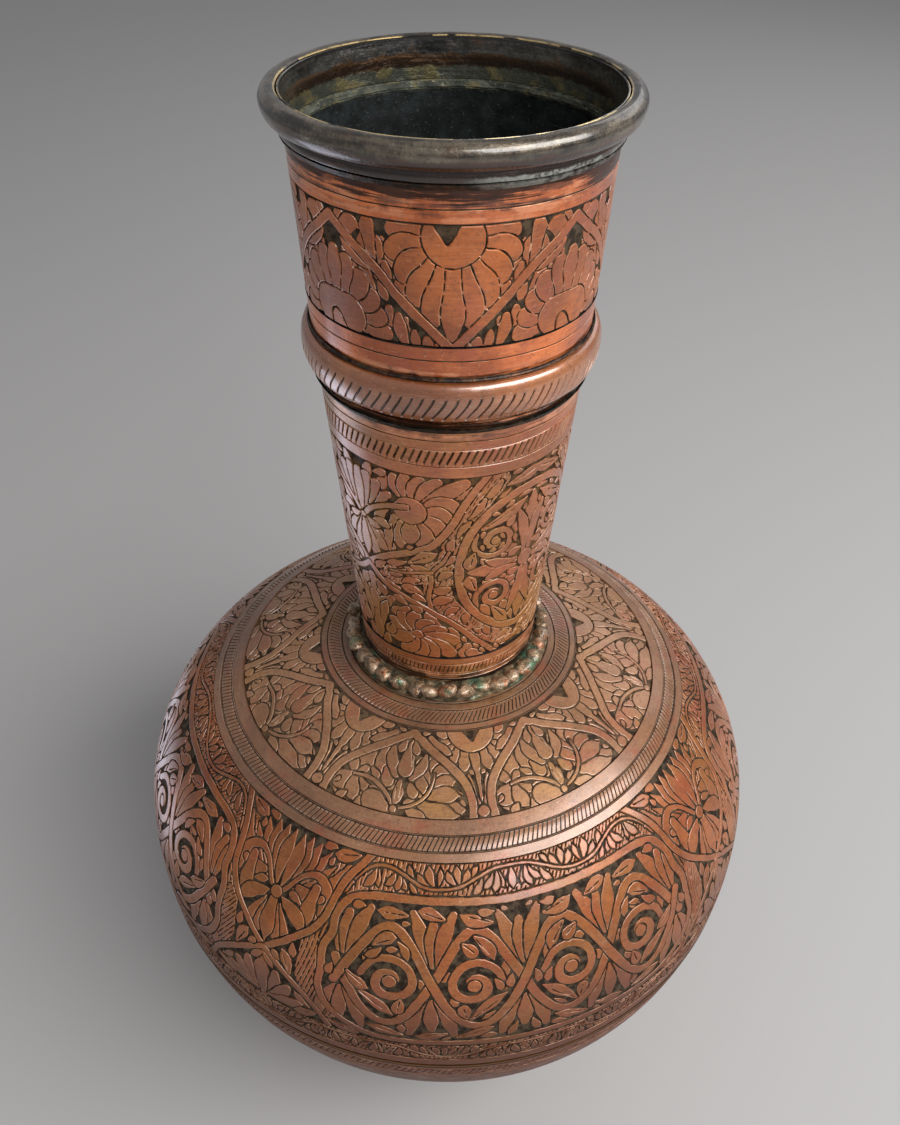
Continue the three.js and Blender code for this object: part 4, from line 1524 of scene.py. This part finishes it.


# Soot and painted shade lie under the moulding, and just above the solder at the foot.
lower_copper = engraved_finish(
    "lower neck copper", "98562e", "c07040", "a67832", "efc6a0", "63492c", "332318",
    soot_and_shade=((268.9, 3.0), (171.5, 6.0)),
)
neck_foot = turned(
    "neck_foot_copper", tube_outline(lower_neck, PANEL_LOW_FOOT_Z, NECK_FOOT_Z), lower_copper,
    repeats=NECK_FOOT_CUTS,
    lines=[(0, *FULL_LINE), *lines_at(HAIR_LINE, 2.9, 7.3), (9.0, *FULL_LINE)],
    cuts=(3.2, 7.0, 0.7, 0.26, 0.22), dents=NECK_DENTS, drift=0.3, lined=19.2,
)
fitted(neck_foot, "copper", "neck_lower")


# Lower neck panel
# The tall panel engraved round the lower copper tube. Crossing straps divide it: flowers above
# and below, a thin vine on hatched ground between, and two oval medallions of scrollwork.
def lower_neck_drawing():
    drawing = Drawing(97.4, 69.6, (1.08, 0.89), score=0.25)
    side = drawing.width / 2
    lay = drawing.lay
    drawing.hatch(
        1.0, 62, 0.15,
        strap(
            3.4, (37.5, 2), (31.5, 11), (27.4, 21), (25, 31), (23, 41), (27, 50), (36, 58),
            (45, 65),
        ),
        strap(4.0, (22, 33), (22, 42)), strap(3.6, (16, 36), (9, 38)),
    )
    drawing.petals(
        0.6, 0.6, ((11.0, 16.0), (8.4, 24.4), 2.0, 0.5), ((13.0, 17.4), (12.0, 27.0), 2.0, -0.4),
        ((16.4, 19.0), (18.4, 25.0), 1.8, 0.0), ((5.0, 24.0), (9.8, 29.6), 2.2, 0.5),
        ((1.4, 27.0), (3.6, 34.8), 1.5, 0.3), ((7.0, 10.6), (9.6, 2.0), 1.6, 0.5),
        ((3.2, 8.0), (4.6, -0.4), 1.6, 0.3), ((8.4, 14.0), (5.0, 21.0), 1.6, -0.5),
        ((24.0, 7.0), (31.4, 3.4), 2.2, 0.4), ((7.6, 48.4), (2.6, 54.6), 1.9, -0.4),
        ((12.4, 50.6), (6.8, 54.0), 1.8, 0.4), ((1.4, 44.0), (5.4, 48.6), 1.7, 0.4),
        ((22.4, 55.4), (18.4, 50.2), 1.6, 0.3), ((28.4, 60.6), (24.6, 56.2), 1.6, -0.3),
        ((31.6, 64.6), (30.4, 69.4), 2.2, 0.5), ((36.0, 69.6), (31.8, 66.4), 1.8, 0.3),
        ((4.0, 66.0), (2.0, 69.6), 1.6, 0.3), ((10.0, 43.0), (4.8, 41.4), 1.5, 0.4),
    )
    drawing.spray(
        (15.4, 12.4), 3.6, (1.5, 1.7, 1.8, 1.9, 1.9, 2.6, 2.3, 2.6, 2.5, 2.0),
        (
            (11.0, 0.5), (14.4, -0.4), (18.6, -0.2), (23.2, 0.2), (30.4, 0.8), (28.0, 8.6),
            (26.4, 13.4), (24.4, 20.0), (19.4, 25.4), (14.6, 24.4),
        ),
    )
    lay(disc(15.4, 12.4, 4.7))
    drawing.spray(
        (0.6, 19.2), 0, (1.3, 1.8, 1.9), ((10.4, 7.6), (7.0, 4.6), (3.4, 3.2)), 0.8, 0.9, 0.25,
    )
    lay(petal((0, 19), (0, 3.0), 1.7, 0, 0.9, 0.3))
    drawing.spray((0.6, 21), 0, (2.1, 2.0), ((7.6, 29.6), (3.9, 33.0)), -1.0, 0.8, 0.25)
    lay(petal((0, 21), (0, 35.0), 1.7, 0, 0.6, 0.3))
    lay(petal((8.6, 28.8), (9.4, 18.6), 1.3, 0.3))
    lay(petal((4.0, 19.8), (9.6, 20.4), 1.5, 0.6))
    lay(([(0.4, 19.6), (4.0, 15.6), (9.0, 12.6), (14.6, 11.4)], [1.0, 1.0, 1.05, 1.1]))
    lay(disc(0, 20, 1.2))
    drawing.petals(
        0.7, 0.35, ((33.4, 8.6), (38.6, 2.0), 1.2, -0.5), ((30.2, 14.0), (34.6, 7.4), 1.0, -0.5),
        ((27.6, 20.4), (31.0, 14.6), 1.0, 0.4), ((25.6, 26.6), (26.4, 20.6), 1.1, 0.3),
        ((24.4, 30.6), (27.4, 27.0), 1.2, 0.4), ((20.4, 33.0), (14.4, 32.4), 1.3, 0.5),
        ((22.6, 36.6), (26.6, 33.0), 1.3, 0.5), ((20.0, 41.0), (26.2, 39.6), 1.5, -0.6),
        ((20.6, 46.6), (26.6, 43.8), 1.6, 0.6), ((17.0, 37.8), (11.4, 40.2), 1.3, -0.5),
        ((12.8, 34.6), (7.4, 38.4), 1.3, 0.5), ((24.4, 50.4), (28.6, 47.6), 1.2, 0.4),
        ((30.4, 54.6), (31.4, 49.6), 1.2, 0.3), ((33.6, 57.6), (38.6, 58.4), 1.2, -0.5),
        ((38.8, 61.0), (37.2, 56.0), 1.2, 0.4), ((41.8, 64.4), (46.4, 62.6), 1.2, 0.5),
        ((44.4, 67.2), (49.4, 66.4), 1.2, 0.5),
    )
    lay((
        [(20.2, 48.8), (19.6, 44.0), (20.4, 38.4), (20.6, 33.6), (23.6, 29.6), (25.4, 25.6)],
        [0.9, 0.85, 0.8, 0.75, 0.7, 0.6],
    ))
    lay(([(20.4, 34.0), (17.0, 34.6), (12.6, 36.0), (8.0, 36.6)], [0.8, 0.7, 0.6, 0.5]))
    drawing.spray(
        (15.6, 60.4), 1.4, (1.9, 2.0, 2.0, 2.1, 1.9, 2.2, 2.3, 2.3, 2.2, 2.1, 2.0),
        (
            (5.6, 56.6), (9.6, 52.4), (15.0, 50.6), (20.6, 53.4), (25.2, 56.6), (29.6, 62.0),
            (28.0, 68.4), (21.6, 70.4), (15.8, 71.4), (10.0, 70.0), (5.2, 65.0),
        ),
        0.5, 0.85, 0.3,
    )
    lay(disc(15.6, 60.4, 1.9))
    lay(petal((0, 60), (0, 46), 2.0, 0, 0.5, 0.5), petal((0, 47.6), (0, 41.4), 1.5, 0, 0.6, 0.8))
    lay(petal((2.2, 62), (5.6, 50.0), 1.5, 0.4, 0.6, 0.5))
    lay(petal((0, 58), (0, 69.5), 2.0, 0, 0.7, 0.5))
    # The medallion's scrollwork.
    spiral(drawing, (side - 10.6, 23.4), 5.6, 210, -1, 1.25)
    spiral(drawing, (side - 9.8, 44.6), 5.4, 150, 1, 1.25)
    drawing.petals(
        0.6, 0.35, ((side, 34.0), (side, 9.2), 2.6, 0), ((side, 34.0), (side, 58.6), 2.6, 0),
        ((side - 1, 33), (side - 4.8, 13.6), 1.6, -1.2),
        ((side - 1, 35), (side - 4.6, 54.6), 1.6, 1.2),
        ((side - 3, 34), (side - 18.6, 34), 2.2, 0.0),
        ((side - 3.4, 32.8), (side - 13.6, 30.2), 1.5, 0.9),
        ((side - 3.4, 35.2), (side - 13.4, 37.8), 1.5, -0.9),
    )
    lay(disc(side, 34, 2.8))
    # The straps, the oval last.
    lay(strap(
        1.25, (35.0, -1.0), (31.2, 5.2), (28.4, 10.5), (26.2, 15.7), (23.6, 20.2), (20.2, 24.2),
        (15.2, 27.2), (9.4, 30.2), (4.4, 33.6), (0, 38.0),
    ))
    lay(strap(
        1.1, (0, 38.0), (5.0, 42.6), (11.2, 45.4), (16.4, 47.6), (21.4, 50.5), (26.4, 54.0),
        (30.4, 58.0), (34.4, 62.5), (39.4, 67.6), (42.0, 70.5),
    ))
    lay(strap(
        1.45, (side, 6.9), (42.2, 8.2), (36.4, 12.0), (32.0, 17.6), (29.4, 24.2), (28.3, 31.0),
        (28.4, 38.0), (30.0, 44.6), (33.4, 50.4), (38.4, 55.4), (43.4, 58.9), (side, 60.6),
    ))
    drawing.sow(0.36, 0.65, 1.8, 8)
    return drawing


panel_low = engraved(
    "lower_neck_panel_copper", lower_neck_drawing(),
    [(lower_neck(z), z) for z in (PANEL_LOW_HEAD_Z, 230, 205, PANEL_LOW_FOOT_Z)], 2, lower_copper,
    sheet=NECK_SHEET, pitch=2.2, start=-47, dents=NECK_DENTS, drift=0.4, map_rows=2,
)
fitted(panel_low, "copper", "neck_lower")


# Lower neck head
# The top of the lower copper tube: plain rings either side of a ring of upright cuts. Above them
# it is drawn in to stand inside the upper tube.
UPPER_NECK_RADIUS = 35.75
UPPER_NECK_SLOPE = 0.0585
LAP_IN = NECK_SHEET + LAP_GAP
NECK_HEAD_CUTS = 108


def upper_neck(z):
    return UPPER_NECK_RADIUS + UPPER_NECK_SLOPE * (z - NECK_JOINT_Z)


lap = [
    (upper_neck(NECK_JOINT_Z + rise) - LAP_IN, NECK_JOINT_Z + rise)
    for rise in (NECK_LAP, SOLDER_GAP)
]
lower_wall = [(lower_neck(z), z) for z in (NECK_JOINT_Z - 1, 261, PANEL_LOW_HEAD_Z)]
head_outline = [
    *lap, *lower_wall, *[(r - NECK_SHEET, z) for r, z in lower_wall[::-1]],
    (lap[1][0] - NECK_SHEET, lap[1][1] - 1), (lap[0][0] - NECK_SHEET, lap[0][1]), lap[0],
]
rings_start = float(lengths(head_outline[:3])[-1])
neck_head = turned(
    "lower_neck_rings_copper", head_outline, lower_copper, repeats=NECK_HEAD_CUTS,
    lines=[
        *lines_at(THIN_LINE, rings_start + 4.7, rings_start + 7.6, rings_start + 12.8),
        (rings_start + 16.55, *FULL_LINE),
    ],
    cuts=(rings_start + 7.7, rings_start + 12.6, 1.9, 0.42, 0.4), dents=NECK_DENTS, drift=0.35,
    lined=rings_start + 16.8,
)
fitted(neck_head, "copper", "neck_lower")


# Neck moulding
# A half-round copper moulding bent round the joint of the two tubes. A gouge has cut S-shaped
# flutes across its lower half, a little unevenly, and its crown is polished by hands.
BEAD_Z = 276.5
BEAD_HALF_HEIGHT = 5.5
BEAD_PROUD = 2.6
FLUTES = 90

bead_arc = []
for angle in np.linspace(math.pi / 2, -math.pi / 2, 23):
    z = BEAD_Z + BEAD_HALF_HEIGHT * math.sin(angle)
    proud = 0.3 + BEAD_PROUD * max(math.cos(angle), 0) ** 0.8
    bead_arc.append((upper_neck(z) + SOLDER_GAP + proud, z))
bead_back = [
    (upper_neck(z) + SOLDER_GAP, z) for z in (BEAD_Z - BEAD_HALF_HEIGHT, BEAD_Z + BEAD_HALF_HEIGHT)
]
bead_copper = engraved_finish(
    "moulding copper", "8c4e26", "b66e3a", "aa6430", "f6dccb", "5a4432", "2e2219",
    shine=1.2, gloss=0.24, coat_ior=2.1,
)
moulding = turned(
    "neck_moulding_copper", [*bead_arc, *bead_back, bead_arc[0]], bead_copper, repeats=FLUTES,
    longest=0.7, cuts=(4.4, 11.6, 3.6, 0.38, 0.42), dents=(0.45, 8), drift=1.1,
)
fitted(moulding, "copper", "neck_bead")


# Solder either side of the moulding
# Two runs of soft solder in the corners above and below the moulding. The upper one is browned
# by the polish that gathers on it, and the lower one is black with grease.
brown_solder = solder_finish("browned solder", "2e221b", "6b4730", "37402f", 0.05)
head_z = BEAD_Z + BEAD_HALF_HEIGHT + SOLDER_GAP
upper_run = [
    (upper_neck(head_z + 0.9) + SOLDER_GAP, head_z + 0.9),
    (upper_neck(head_z) + 0.7, head_z + 0.25), (upper_neck(head_z) + 0.85, head_z),
    (upper_neck(head_z) + SOLDER_GAP, head_z),
]
fillet_up = turned(
    "moulding_solder_upper", [*upper_run, upper_run[0]], brown_solder, dents=(0.3, 5), longest=0.5
)
fitted(fillet_up, "grey_solder", "bead_solder_upper")

black_solder = solder_finish("black solder", "211f1b", "4d4232", "37402f", 0.1)
foot_z = NECK_JOINT_Z - 1 - SOLDER_GAP
lower_run = [
    (lower_neck(foot_z) + 1.1, foot_z), (lower_neck(foot_z) + 0.8, foot_z - 0.7),
    (lower_neck(foot_z) + 0.4, foot_z - 1.4), (lower_neck(foot_z - 1.9) + SOLDER_GAP, foot_z - 1.9),
    (lower_neck(foot_z) + SOLDER_GAP, foot_z),
]
fillet_down = turned(
    "moulding_solder_lower", [*lower_run, lower_run[0]], black_solder, dents=(0.4, 5), longest=0.5
)
fitted(fillet_down, "grey_solder", "bead_solder_lower")


# Upper neck foot
# The plain foot of the upper copper tube, burnished bright and painted lighter than the panel
# above, partly as painted light reflected off the moulding. The moulding hides its lower part,
# and polish and painted shade have gathered black along the moulding's upper edge.
PANEL_HIGH_FOOT_Z = 290.9
PANEL_HIGH_HEAD_Z = 320.1

# Soot and painted shade lie above the moulding and under the lip, with bright streaks of
# painted highlight beside them.
burnished_lit_copper = engraved_finish(
    "burnished neck copper", "aa5222", "ee8240", "e07430", "f8cda6",
    soot_and_shade=((282.2, 1.6), (327.4, 4.6)), gloss=0.2,
)
high_foot = turned(
    "upper_neck_foot_copper",
    tube_outline(upper_neck, PANEL_HIGH_FOOT_Z, NECK_JOINT_Z + 2 * SOLDER_GAP), burnished_lit_copper,
    lines=[(0, *FULL_LINE), (3.7, *THIN_LINE)], dents=NECK_DENTS, drift=0.3, lined=20.6,
)
fitted(high_foot, "copper", "neck_upper")


# Upper neck panel
# A zigzag strap engraved round the upper copper tube, with half a daisy hanging in each upper
# corner and a palmette rising in each lower one.
def upper_neck_drawing():
    drawing = Drawing(58.75, 29.2, score=0.24)
    peak = drawing.width / 2
    lay = drawing.lay
    drawing.petals(
        0.6, 0.6, ((12.4, 17.0), (15.6, 3.6), 1.7, 0.4), ((9.6, 18.6), (13.0, 13.4), 1.3, 0.3),
        ((5.6, 22.6), (9.2, 18.0), 1.0, 0.3), ((16.6, 10.6), (17.8, 3.0), 1.6, 0.4),
        ((20.6, 7.6), (23.0, 2.6), 1.6, 0.4), ((peak - 1.6, 3.4), (peak - 3.6, -0.4), 1.2, 0.3),
        ((18.6, 16.4), (22.8, 10.8), 1.8, 0.3), ((14.6, 20.6), (13.6, 25.0), 1.6, 0.3),
        ((10.8, 22.8), (11.4, 28.0), 1.4, 0.2), ((6.0, 27.4), (5.2, 29.4), 1.3, 0.2),
        ((2.8, 28.2), (3.2, 29.6), 1.0, 0.0), ((22.6, 14.6), (26.4, 8.2), 1.6, 0.4),
    )
    lay(petal((17.0, 13.6), (19.0, -0.5), 1.9, -1.2, 0.95))
    lay(petal((19.4, 11.2), (24.6, 0.4), 3.0, -1.6, 0.95))
    drawing.cut(([(22.0, 8.6), (22.4, 5.6), (21.0, 3.6)], [0.3, 0.6, 0.3]))
    lay(petal((14.2, 15.0), (15.4, 9.0), 1.1))
    for root, tip, half in (
        ((6.0, 1.4), (14.8, 1.6), 2.5), ((6.0, 4.6), (15.2, 7.2), 3.0),
        ((5.0, 7.0), (12.4, 13.2), 3.4), ((3.6, 8.6), (8.8, 19.4), 3.2),
        ((1.8, 9.4), (4.9, 24.4), 2.8),
    ):
        lay(petal(root, tip, half, 0.3, 0.95, 0.6))
    lay(petal((0, 9.6), (0, 29.2), 2.5, 0, 0.55, 0.6))
    lay(disc(0, 3.0, 6.9))
    for root, tip, half in (
        ((21.4, 27.0), (13.8, 27.4), 2.4), ((21.4, 24.4), (15.0, 22.6), 2.6),
        ((22.6, 22.2), (17.2, 17.4), 2.8), ((24.6, 20.6), (20.7, 13.0), 3.0),
        ((26.9, 19.8), (25.4, 9.8), 2.4),
    ):
        lay(petal(root, tip, half, -0.3, 0.95, 0.6))
    lay(petal((peak, 19.8), (peak, 8.4), 2.1, 0, 0.8, 0.6))
    lay(([(26.0, 25.0), (peak, 25.2), (2 * peak - 26.0, 25.0)], [5.2, 5.4, 5.2]))
    drawing.mirror = None
    drawing.score((
        [(26.6, 29.4), (26.7, 26.0), (28.6, 24.8), (30.4, 26.4), (31.6, 28.8), (33.2, 29.2)],
        [0.3, 0.34, 0.34, 0.34, 0.3, 0.26],
    ))
    drawing.mirror = 0.0
    lay(petal((10.4, 30.0), (12.6, 21.0), 1.5, -0.5))
    lay(petal((7.6, 30.4), (8.9, 25.0), 1.1, -0.3))
    lay(strap(
        1.3, (0, 30.0), (4.5, 25.4), (9.0, 20.8), (13.2, 16.4), (16.6, 12.4), (20.8, 8.6),
        (25.2, 5.4), (peak, 1.9),
    ))
    drawing.sow(0.5, 0.8, 1.6, 2)
    drawing.mirror = None
    drawing.cut(([(-1.4, -1.2), (-1.2, 1.2), (-1.3, 4.2)], [3.1, 1.9, 0.3]))
    return drawing


upper_copper = engraved_finish(
    "upper neck copper", "8e4720", "c46b2e", "ba6426", "ecbd98", "544534", "2c221a"
)
panel_high = engraved(
    "upper_neck_panel_copper", upper_neck_drawing(),
    [(upper_neck(z), z) for z in (PANEL_HIGH_HEAD_Z, 305, PANEL_HIGH_FOOT_Z)], 4, upper_copper,
    sheet=NECK_SHEET, pitch=2.2, start=0.4, dents=NECK_DENTS, drift=0.4, map_rows=2,
)
fitted(panel_high, "copper", "neck_upper")


# Upper neck head
# The plain top of the upper copper tube, scored twice, and burnt dark in streaks where the lip
# was soldered on, the dark partly painted shade under the lip. Its bright streaks are partly
# painted highlight.
high_head = turned(
    "upper_neck_head_copper", tube_outline(upper_neck, NECK_TOP_Z, PANEL_HIGH_HEAD_Z),
    burnished_lit_copper, lines=[(4.8, *THIN_LINE), (8.11, *FULL_LINE)], dents=NECK_DENTS, drift=0.3,
    lined=8.3, longest=1.2,
)
fitted(high_head, "copper", "neck_upper")


# Solder under the lip
# A run of soft solder under the skirt of the lip, browned and sooty. Only at the front right does
# it show pale grey, as bare metal where it is rubbed and a painted highlight.
SKIRT_FOOT_Z = 329.4
SKIRT_BACK = 39.75
rim_solder = solder_finish("grey solder", "231f1b", "4f3524", "3d4532", 0.1, 0.6)
seat = SKIRT_FOOT_Z - SOLDER_GAP
rim_run = [
    (SKIRT_BACK - 0.15, seat), (SKIRT_BACK + 0.6, seat), (upper_neck(seat) + 0.85, seat - 0.8),
    (upper_neck(seat - 1.6) + SOLDER_GAP, seat - 1.6),
    (upper_neck(seat - 1.0) + SOLDER_GAP, seat - 1.0),
]
rim_fillet = turned(
    "lip_solder", [*rim_run, rim_run[0]], rim_solder, dents=(0.35, 4), longest=0.5
)
fitted(rim_fillet, "grey_solder", "rim_solder")


# Solder on the ledge inside the mouth
# The top edge of the neck tube shows inside the mouth as a ragged ledge, covered with dull
# solder and a dusty green and ochre crust.
def crust_finish():
    paint = Paint("dusty crust")
    cloud = paint.noise(8, 4)
    base = paint.mix(cloud.between(0.35, 0.65), colour("353830"), colour("5d6053"))
    base = paint.mix(paint.noise(4, 4).between(0.52, 0.68) * 0.7, base, colour("7d7048"))
    base = paint.mix(paint.noise(1.4, 4, 0.65).between(0.58, 0.7), base, colour("86806f"))
    return paint.finish(base, 0.1, 0.75, paint.bump(paint.noise(1.2, 4), 0.4))


ledge_out = upper_neck(NECK_TOP_Z) - NECK_SHEET - SOLDER_GAP
ledge_outline = [
    (ledge_out - 0.25, NECK_TOP_Z + 0.05), (ledge_out - 0.05, NECK_TOP_Z + 0.1),
    (ledge_out, NECK_TOP_Z - 0.2), (ledge_out, NECK_TOP_Z - 2.5),
    (ledge_out - 0.5, NECK_TOP_Z - 2.2), (ledge_out - 0.95, NECK_TOP_Z - 1.6),
    (ledge_out - 0.85, NECK_TOP_Z - 0.3), (ledge_out - 0.25, NECK_TOP_Z + 0.05),
]
ledge = turned(
    "mouth_ledge_crust", ledge_outline, crust_finish(), dents=(0.8, 3), columns=384, longest=0.4
)
fitted(ledge, "green_solder", "mouth_ledge_solder")


# Mouth sleeve
# A sleeve of thin copper sheet inside the mouth, black with tarnish. It closes the curl of the
# lip, and its top edge is painted bright as a broken line: worn metal and a painted glint.
SLEEVE_FOOT_RADIUS = 38.3
SLEEVE_MOUTH_RADIUS = 39.0
SLEEVE_SHEET = 0.9
SLEEVE_TOP_Z = 338.1


def sleeve(z):
    """Inner radius of the sleeve at a height."""
    share = (z - NECK_TOP_Z - SOLDER_GAP) / (SLEEVE_TOP_Z - NECK_TOP_Z - SOLDER_GAP)
    return SLEEVE_FOOT_RADIUS + (SLEEVE_MOUTH_RADIUS - SLEEVE_FOOT_RADIUS) * share


def tarnish_finish(name, dark, sheen, brown, lowest):
    """Black tarnish with pits, worn to a grey sheen in places, partly painted sheen. Towards the
    lowest height it is smeared brown, and darkened as grime and painted shade on the underside.

    At the front right over the solder it is pale, bare solder and a painted highlight, and it is
    dusty where the sleeve meets the ledge. Along the crack between sleeve and lip runs a broken
    bright line of worn metal and a painted glint, with a painted shadow inside it.
    """
    paint = Paint(name)
    radius = paint.maths("SQRT", paint.x * paint.x + paint.y * paint.y)
    cloud = paint.noise(9, 5, 0.7)
    grit = paint.noise(2.2, 5, 0.7)
    pits = paint.noise(0.9, 4, 0.65)
    # Grey sheen in patches: worn tarnish and painted sheen.
    worn_sheen = (cloud * 0.6 + grit * 0.5 + paint.streaks(18, 2.2) * 0.8).between(0.75, 1.22)
    base = paint.mix(worn_sheen, colour(dark), colour(sheen))
    base = paint.mix(pits.between(0.54, 0.68) * 0.6, base, colour("191715"))
    down = paint.z.between((lowest + 2.4) * MM, lowest * MM)
    tan = (paint.noise(6, 4) + down * 0.6 + grit * 0.5).between(0.8, 1.1)
    base = paint.mix(tan * 0.8, base, colour(brown))
    # Darker towards the lowest height: grime and painted shade on the underside.
    smear_and_shade = (paint.streaks(16, 1.2) + down * 0.25).between(0.52, 0.7) * down
    base = paint.mix(smear_and_shade * 0.8, base, colour("1c1512"))
    # Pale bare solder and a painted highlight at the front right, just over the solder.
    skirt = (paint.z + (grit - 0.5) * MM * 2).between(330.7 * MM, 330.2 * MM)
    bare = front_right(paint) * skirt * (cloud + pits).between(0.85, 1.05) * 0.85
    base = paint.mix(bare, base, colour(BARE_SOLDER_SHEEN))
    inner = radius.between(39.3 * MM, 39.1 * MM)
    dusty = (paint.z.between(332.4 * MM, 330.4 * MM) + (grit - 0.5) * 2).between(0.3, 0.8)
    ochre = paint.mix(paint.noise(6, 4).between(0.46, 0.62), colour("4b4d43"), colour("6f6647"))
    base = paint.mix(dusty * inner, base, ochre)
    # The sleeve's top edge is painted dark on its inside, a painted shadow in the crack, and bright
    # along the crack, worn metal and a painted glint.
    top = paint.z.between(337.0 * MM, 337.6 * MM)
    gap = radius.between(38.9 * MM, 39.1 * MM) * radius.between(39.5 * MM, 39.3 * MM)
    base = paint.mix(gap * top * 0.8, base, colour("15110e"))
    crack = radius.between(39.35 * MM, 39.5 * MM) * radius.between(40.5 * MM, 40.25 * MM) * top
    crack = crack * (paint.streaks(9, 1.6) + (grit - 0.5) * 0.15).between(0.43, 0.49)
    base = paint.mix(crack, base, colour("dcc592"))
    rough = 0.26 + (pits - 0.5) * 0.7 + cloud.between(0.6, 0.4) * 0.15
    normal = paint.bump(paint.streaks(8, 0.6), 0.12, paint.bump(paint.noise(6, 3), 0.9))
    normal = paint.bump(pits, 0.1, paint.bump(grit, 0.22, normal))
    return paint.finish(base, 0.5, rough, normal, 0.9, 0.18, 1.75)


sleeve_foot = NECK_TOP_Z + 0.03
sleeve_mouth = sleeve(SLEEVE_TOP_Z)
sleeve_outline = [
    (sleeve_mouth + 0.35, SLEEVE_TOP_Z), (sleeve_mouth + SLEEVE_SHEET - 0.25, SLEEVE_TOP_Z - 0.1),
    (sleeve(337) + SLEEVE_SHEET - 0.1, 337), (sleeve(334) + SLEEVE_SHEET, 334),
    (sleeve(sleeve_foot) + SLEEVE_SHEET, sleeve_foot), (sleeve(sleeve_foot), sleeve_foot),
    (sleeve(334), 334), (sleeve(337) + 0.05, 337), (sleeve_mouth + 0.1, SLEEVE_TOP_Z - 0.2),
    (sleeve_mouth + 0.35, SLEEVE_TOP_Z),
]
liner = turned(
    "mouth_sleeve_tarnished", sleeve_outline,
    tarnish_finish("black tarnish", "1b1b1b", "5e5c57", "5e4024", 332.6), dents=(0.12, 9),
    longest=0.8,
)
fitted(liner, "tarnished_lip", "mouth_sleeve")


# Rolled lip
# A band of copper sheet round the mouth, curled outwards round a wire. It is hammered a little
# uneven and is tarnished grey-black, with a greyish sheen where it is rubbed, partly painted sheen.
ROLL_RADIUS = 2.64
ROLL_CENTRE_RADIUS = 41.5
ROLL_CENTRE_Z = 336
ROLL_SHEET = 0.8
ROLL_END = 128
SKIRT_END = -118


def on_roll(radius, degrees, droop=1.0):
    """A point round the roll's middle. A droop lets its underside hang lower."""
    turn = math.radians(degrees)
    rise = radius * math.sin(turn) * (droop if degrees < 0 else 1)
    return ROLL_CENTRE_RADIUS + radius * math.cos(turn), ROLL_CENTRE_Z + rise


roll_outline = [
    *[on_roll(ROLL_RADIUS, degrees, 1.45) for degrees in np.linspace(ROLL_END - 2, SKIRT_END, 29)],
    (SKIRT_BACK + 0.62, SKIRT_FOOT_Z + 2.3), (SKIRT_BACK + 0.85, SKIRT_FOOT_Z + 1.3),
    (SKIRT_BACK + 0.72, SKIRT_FOOT_Z + 0.3), (SKIRT_BACK + 0.55, SKIRT_FOOT_Z),
    (SKIRT_BACK, SKIRT_FOOT_Z + 0.02), (SKIRT_BACK, SKIRT_FOOT_Z + 3.6),
    *[
        on_roll(ROLL_RADIUS - ROLL_SHEET, degrees, 1.3)
        for degrees in np.linspace(SKIRT_END, ROLL_END - 2, 12)
    ],
    on_roll(ROLL_RADIUS, ROLL_END - 2),
]
lip = turned(
    "rolled_lip_tarnished", roll_outline,
    tarnish_finish("lip tarnish", "2a2520", "7e7260", "55301f", 333.4), dents=(0.3, 8), longest=0.7,
)
fitted(lip, "tarnished_lip", "rim_roll")


# Lip wire
# The iron wire that the lip is curled round, which stiffens the mouth. It is rusty, and shows
# only if the curl is opened.
WIRE_RADIUS = 1.45


def iron_finish():
    paint = Paint("rusty iron")
    rust = paint.noise(3, 5)
    base = paint.mix(rust.between(0.4, 0.65), colour("3b3735"), colour("6a4029"))
    return paint.finish(base, 0.6, rust * 0.4 + 0.45, paint.bump(rust, 0.15))


wire_outline = [on_roll(WIRE_RADIUS, degrees) for degrees in np.linspace(180, -180, 17)]
wire = turned("lip_wire_iron", wire_outline, iron_finish(), columns=96, longest=3)
fitted(wire, "iron_wire", "rim_wire")


# Floor, lamps and the close of the file
# The vase stands on a plain pale floor. Two windows on its right light it, and a low lamp on
# its left stands for the light that the floor throws up.
def floor_finish():
    paint = Paint("pale floor")
    return paint.finish((0.52, 0.51, 0.5, 1), 0.0, 0.9)


FLOOR_REACH = 4.0
floor_mesh = bpy.data.meshes.new("floor")
floor_corners = [
    (FLOOR_REACH * x, FLOOR_REACH * y, 0) for x, y in ((-1, -1), (1, -1), (1, 1), (-1, 1))
]
floor_mesh.from_pydata(floor_corners, [], [(0, 1, 2, 3)])
floor_mesh.materials.append(floor_finish())
floor = as_object("floor", floor_mesh)

world = bpy.data.worlds.new("studio")
bpy.context.scene.world = world
world.use_nodes = True
world.node_tree.nodes["Background"].inputs["Color"].default_value = (0.26, 0.26, 0.27, 1)


def lamp(name, place, aim, width, height, watts, tint=(1, 1, 1)):
    """A soft lamp that lights the vase from a place towards an aim, itself out of the picture."""
    data = bpy.data.lights.new(name, "AREA")
    data.shape, data.size, data.size_y = "RECTANGLE", width, height
    data.energy, data.color = watts, tint
    made = as_object(name, data)
    made.location = place
    made.rotation_euler = (Vector(aim) - Vector(place)).to_track_quat("-Z", "Y").to_euler()
    made.visible_camera = False


lamp("window", (0.67, -0.53, 0.92), (0, 0, 0.18), 1.3, 0.6, 16.8)
lamp("far window", (0.85, 1.1, 0.95), (0, 0, 0.15), 1.2, 0.6, 2.3)
lamp(
    "light off the floor", (-0.34, 0.1, 0.005), (-0.33, 0.1, 1), 0.22, 0.26, 0.29,
    (0.86, 0.92, 1.12),
)

bpy.context.scene.view_settings.view_transform = "Standard"
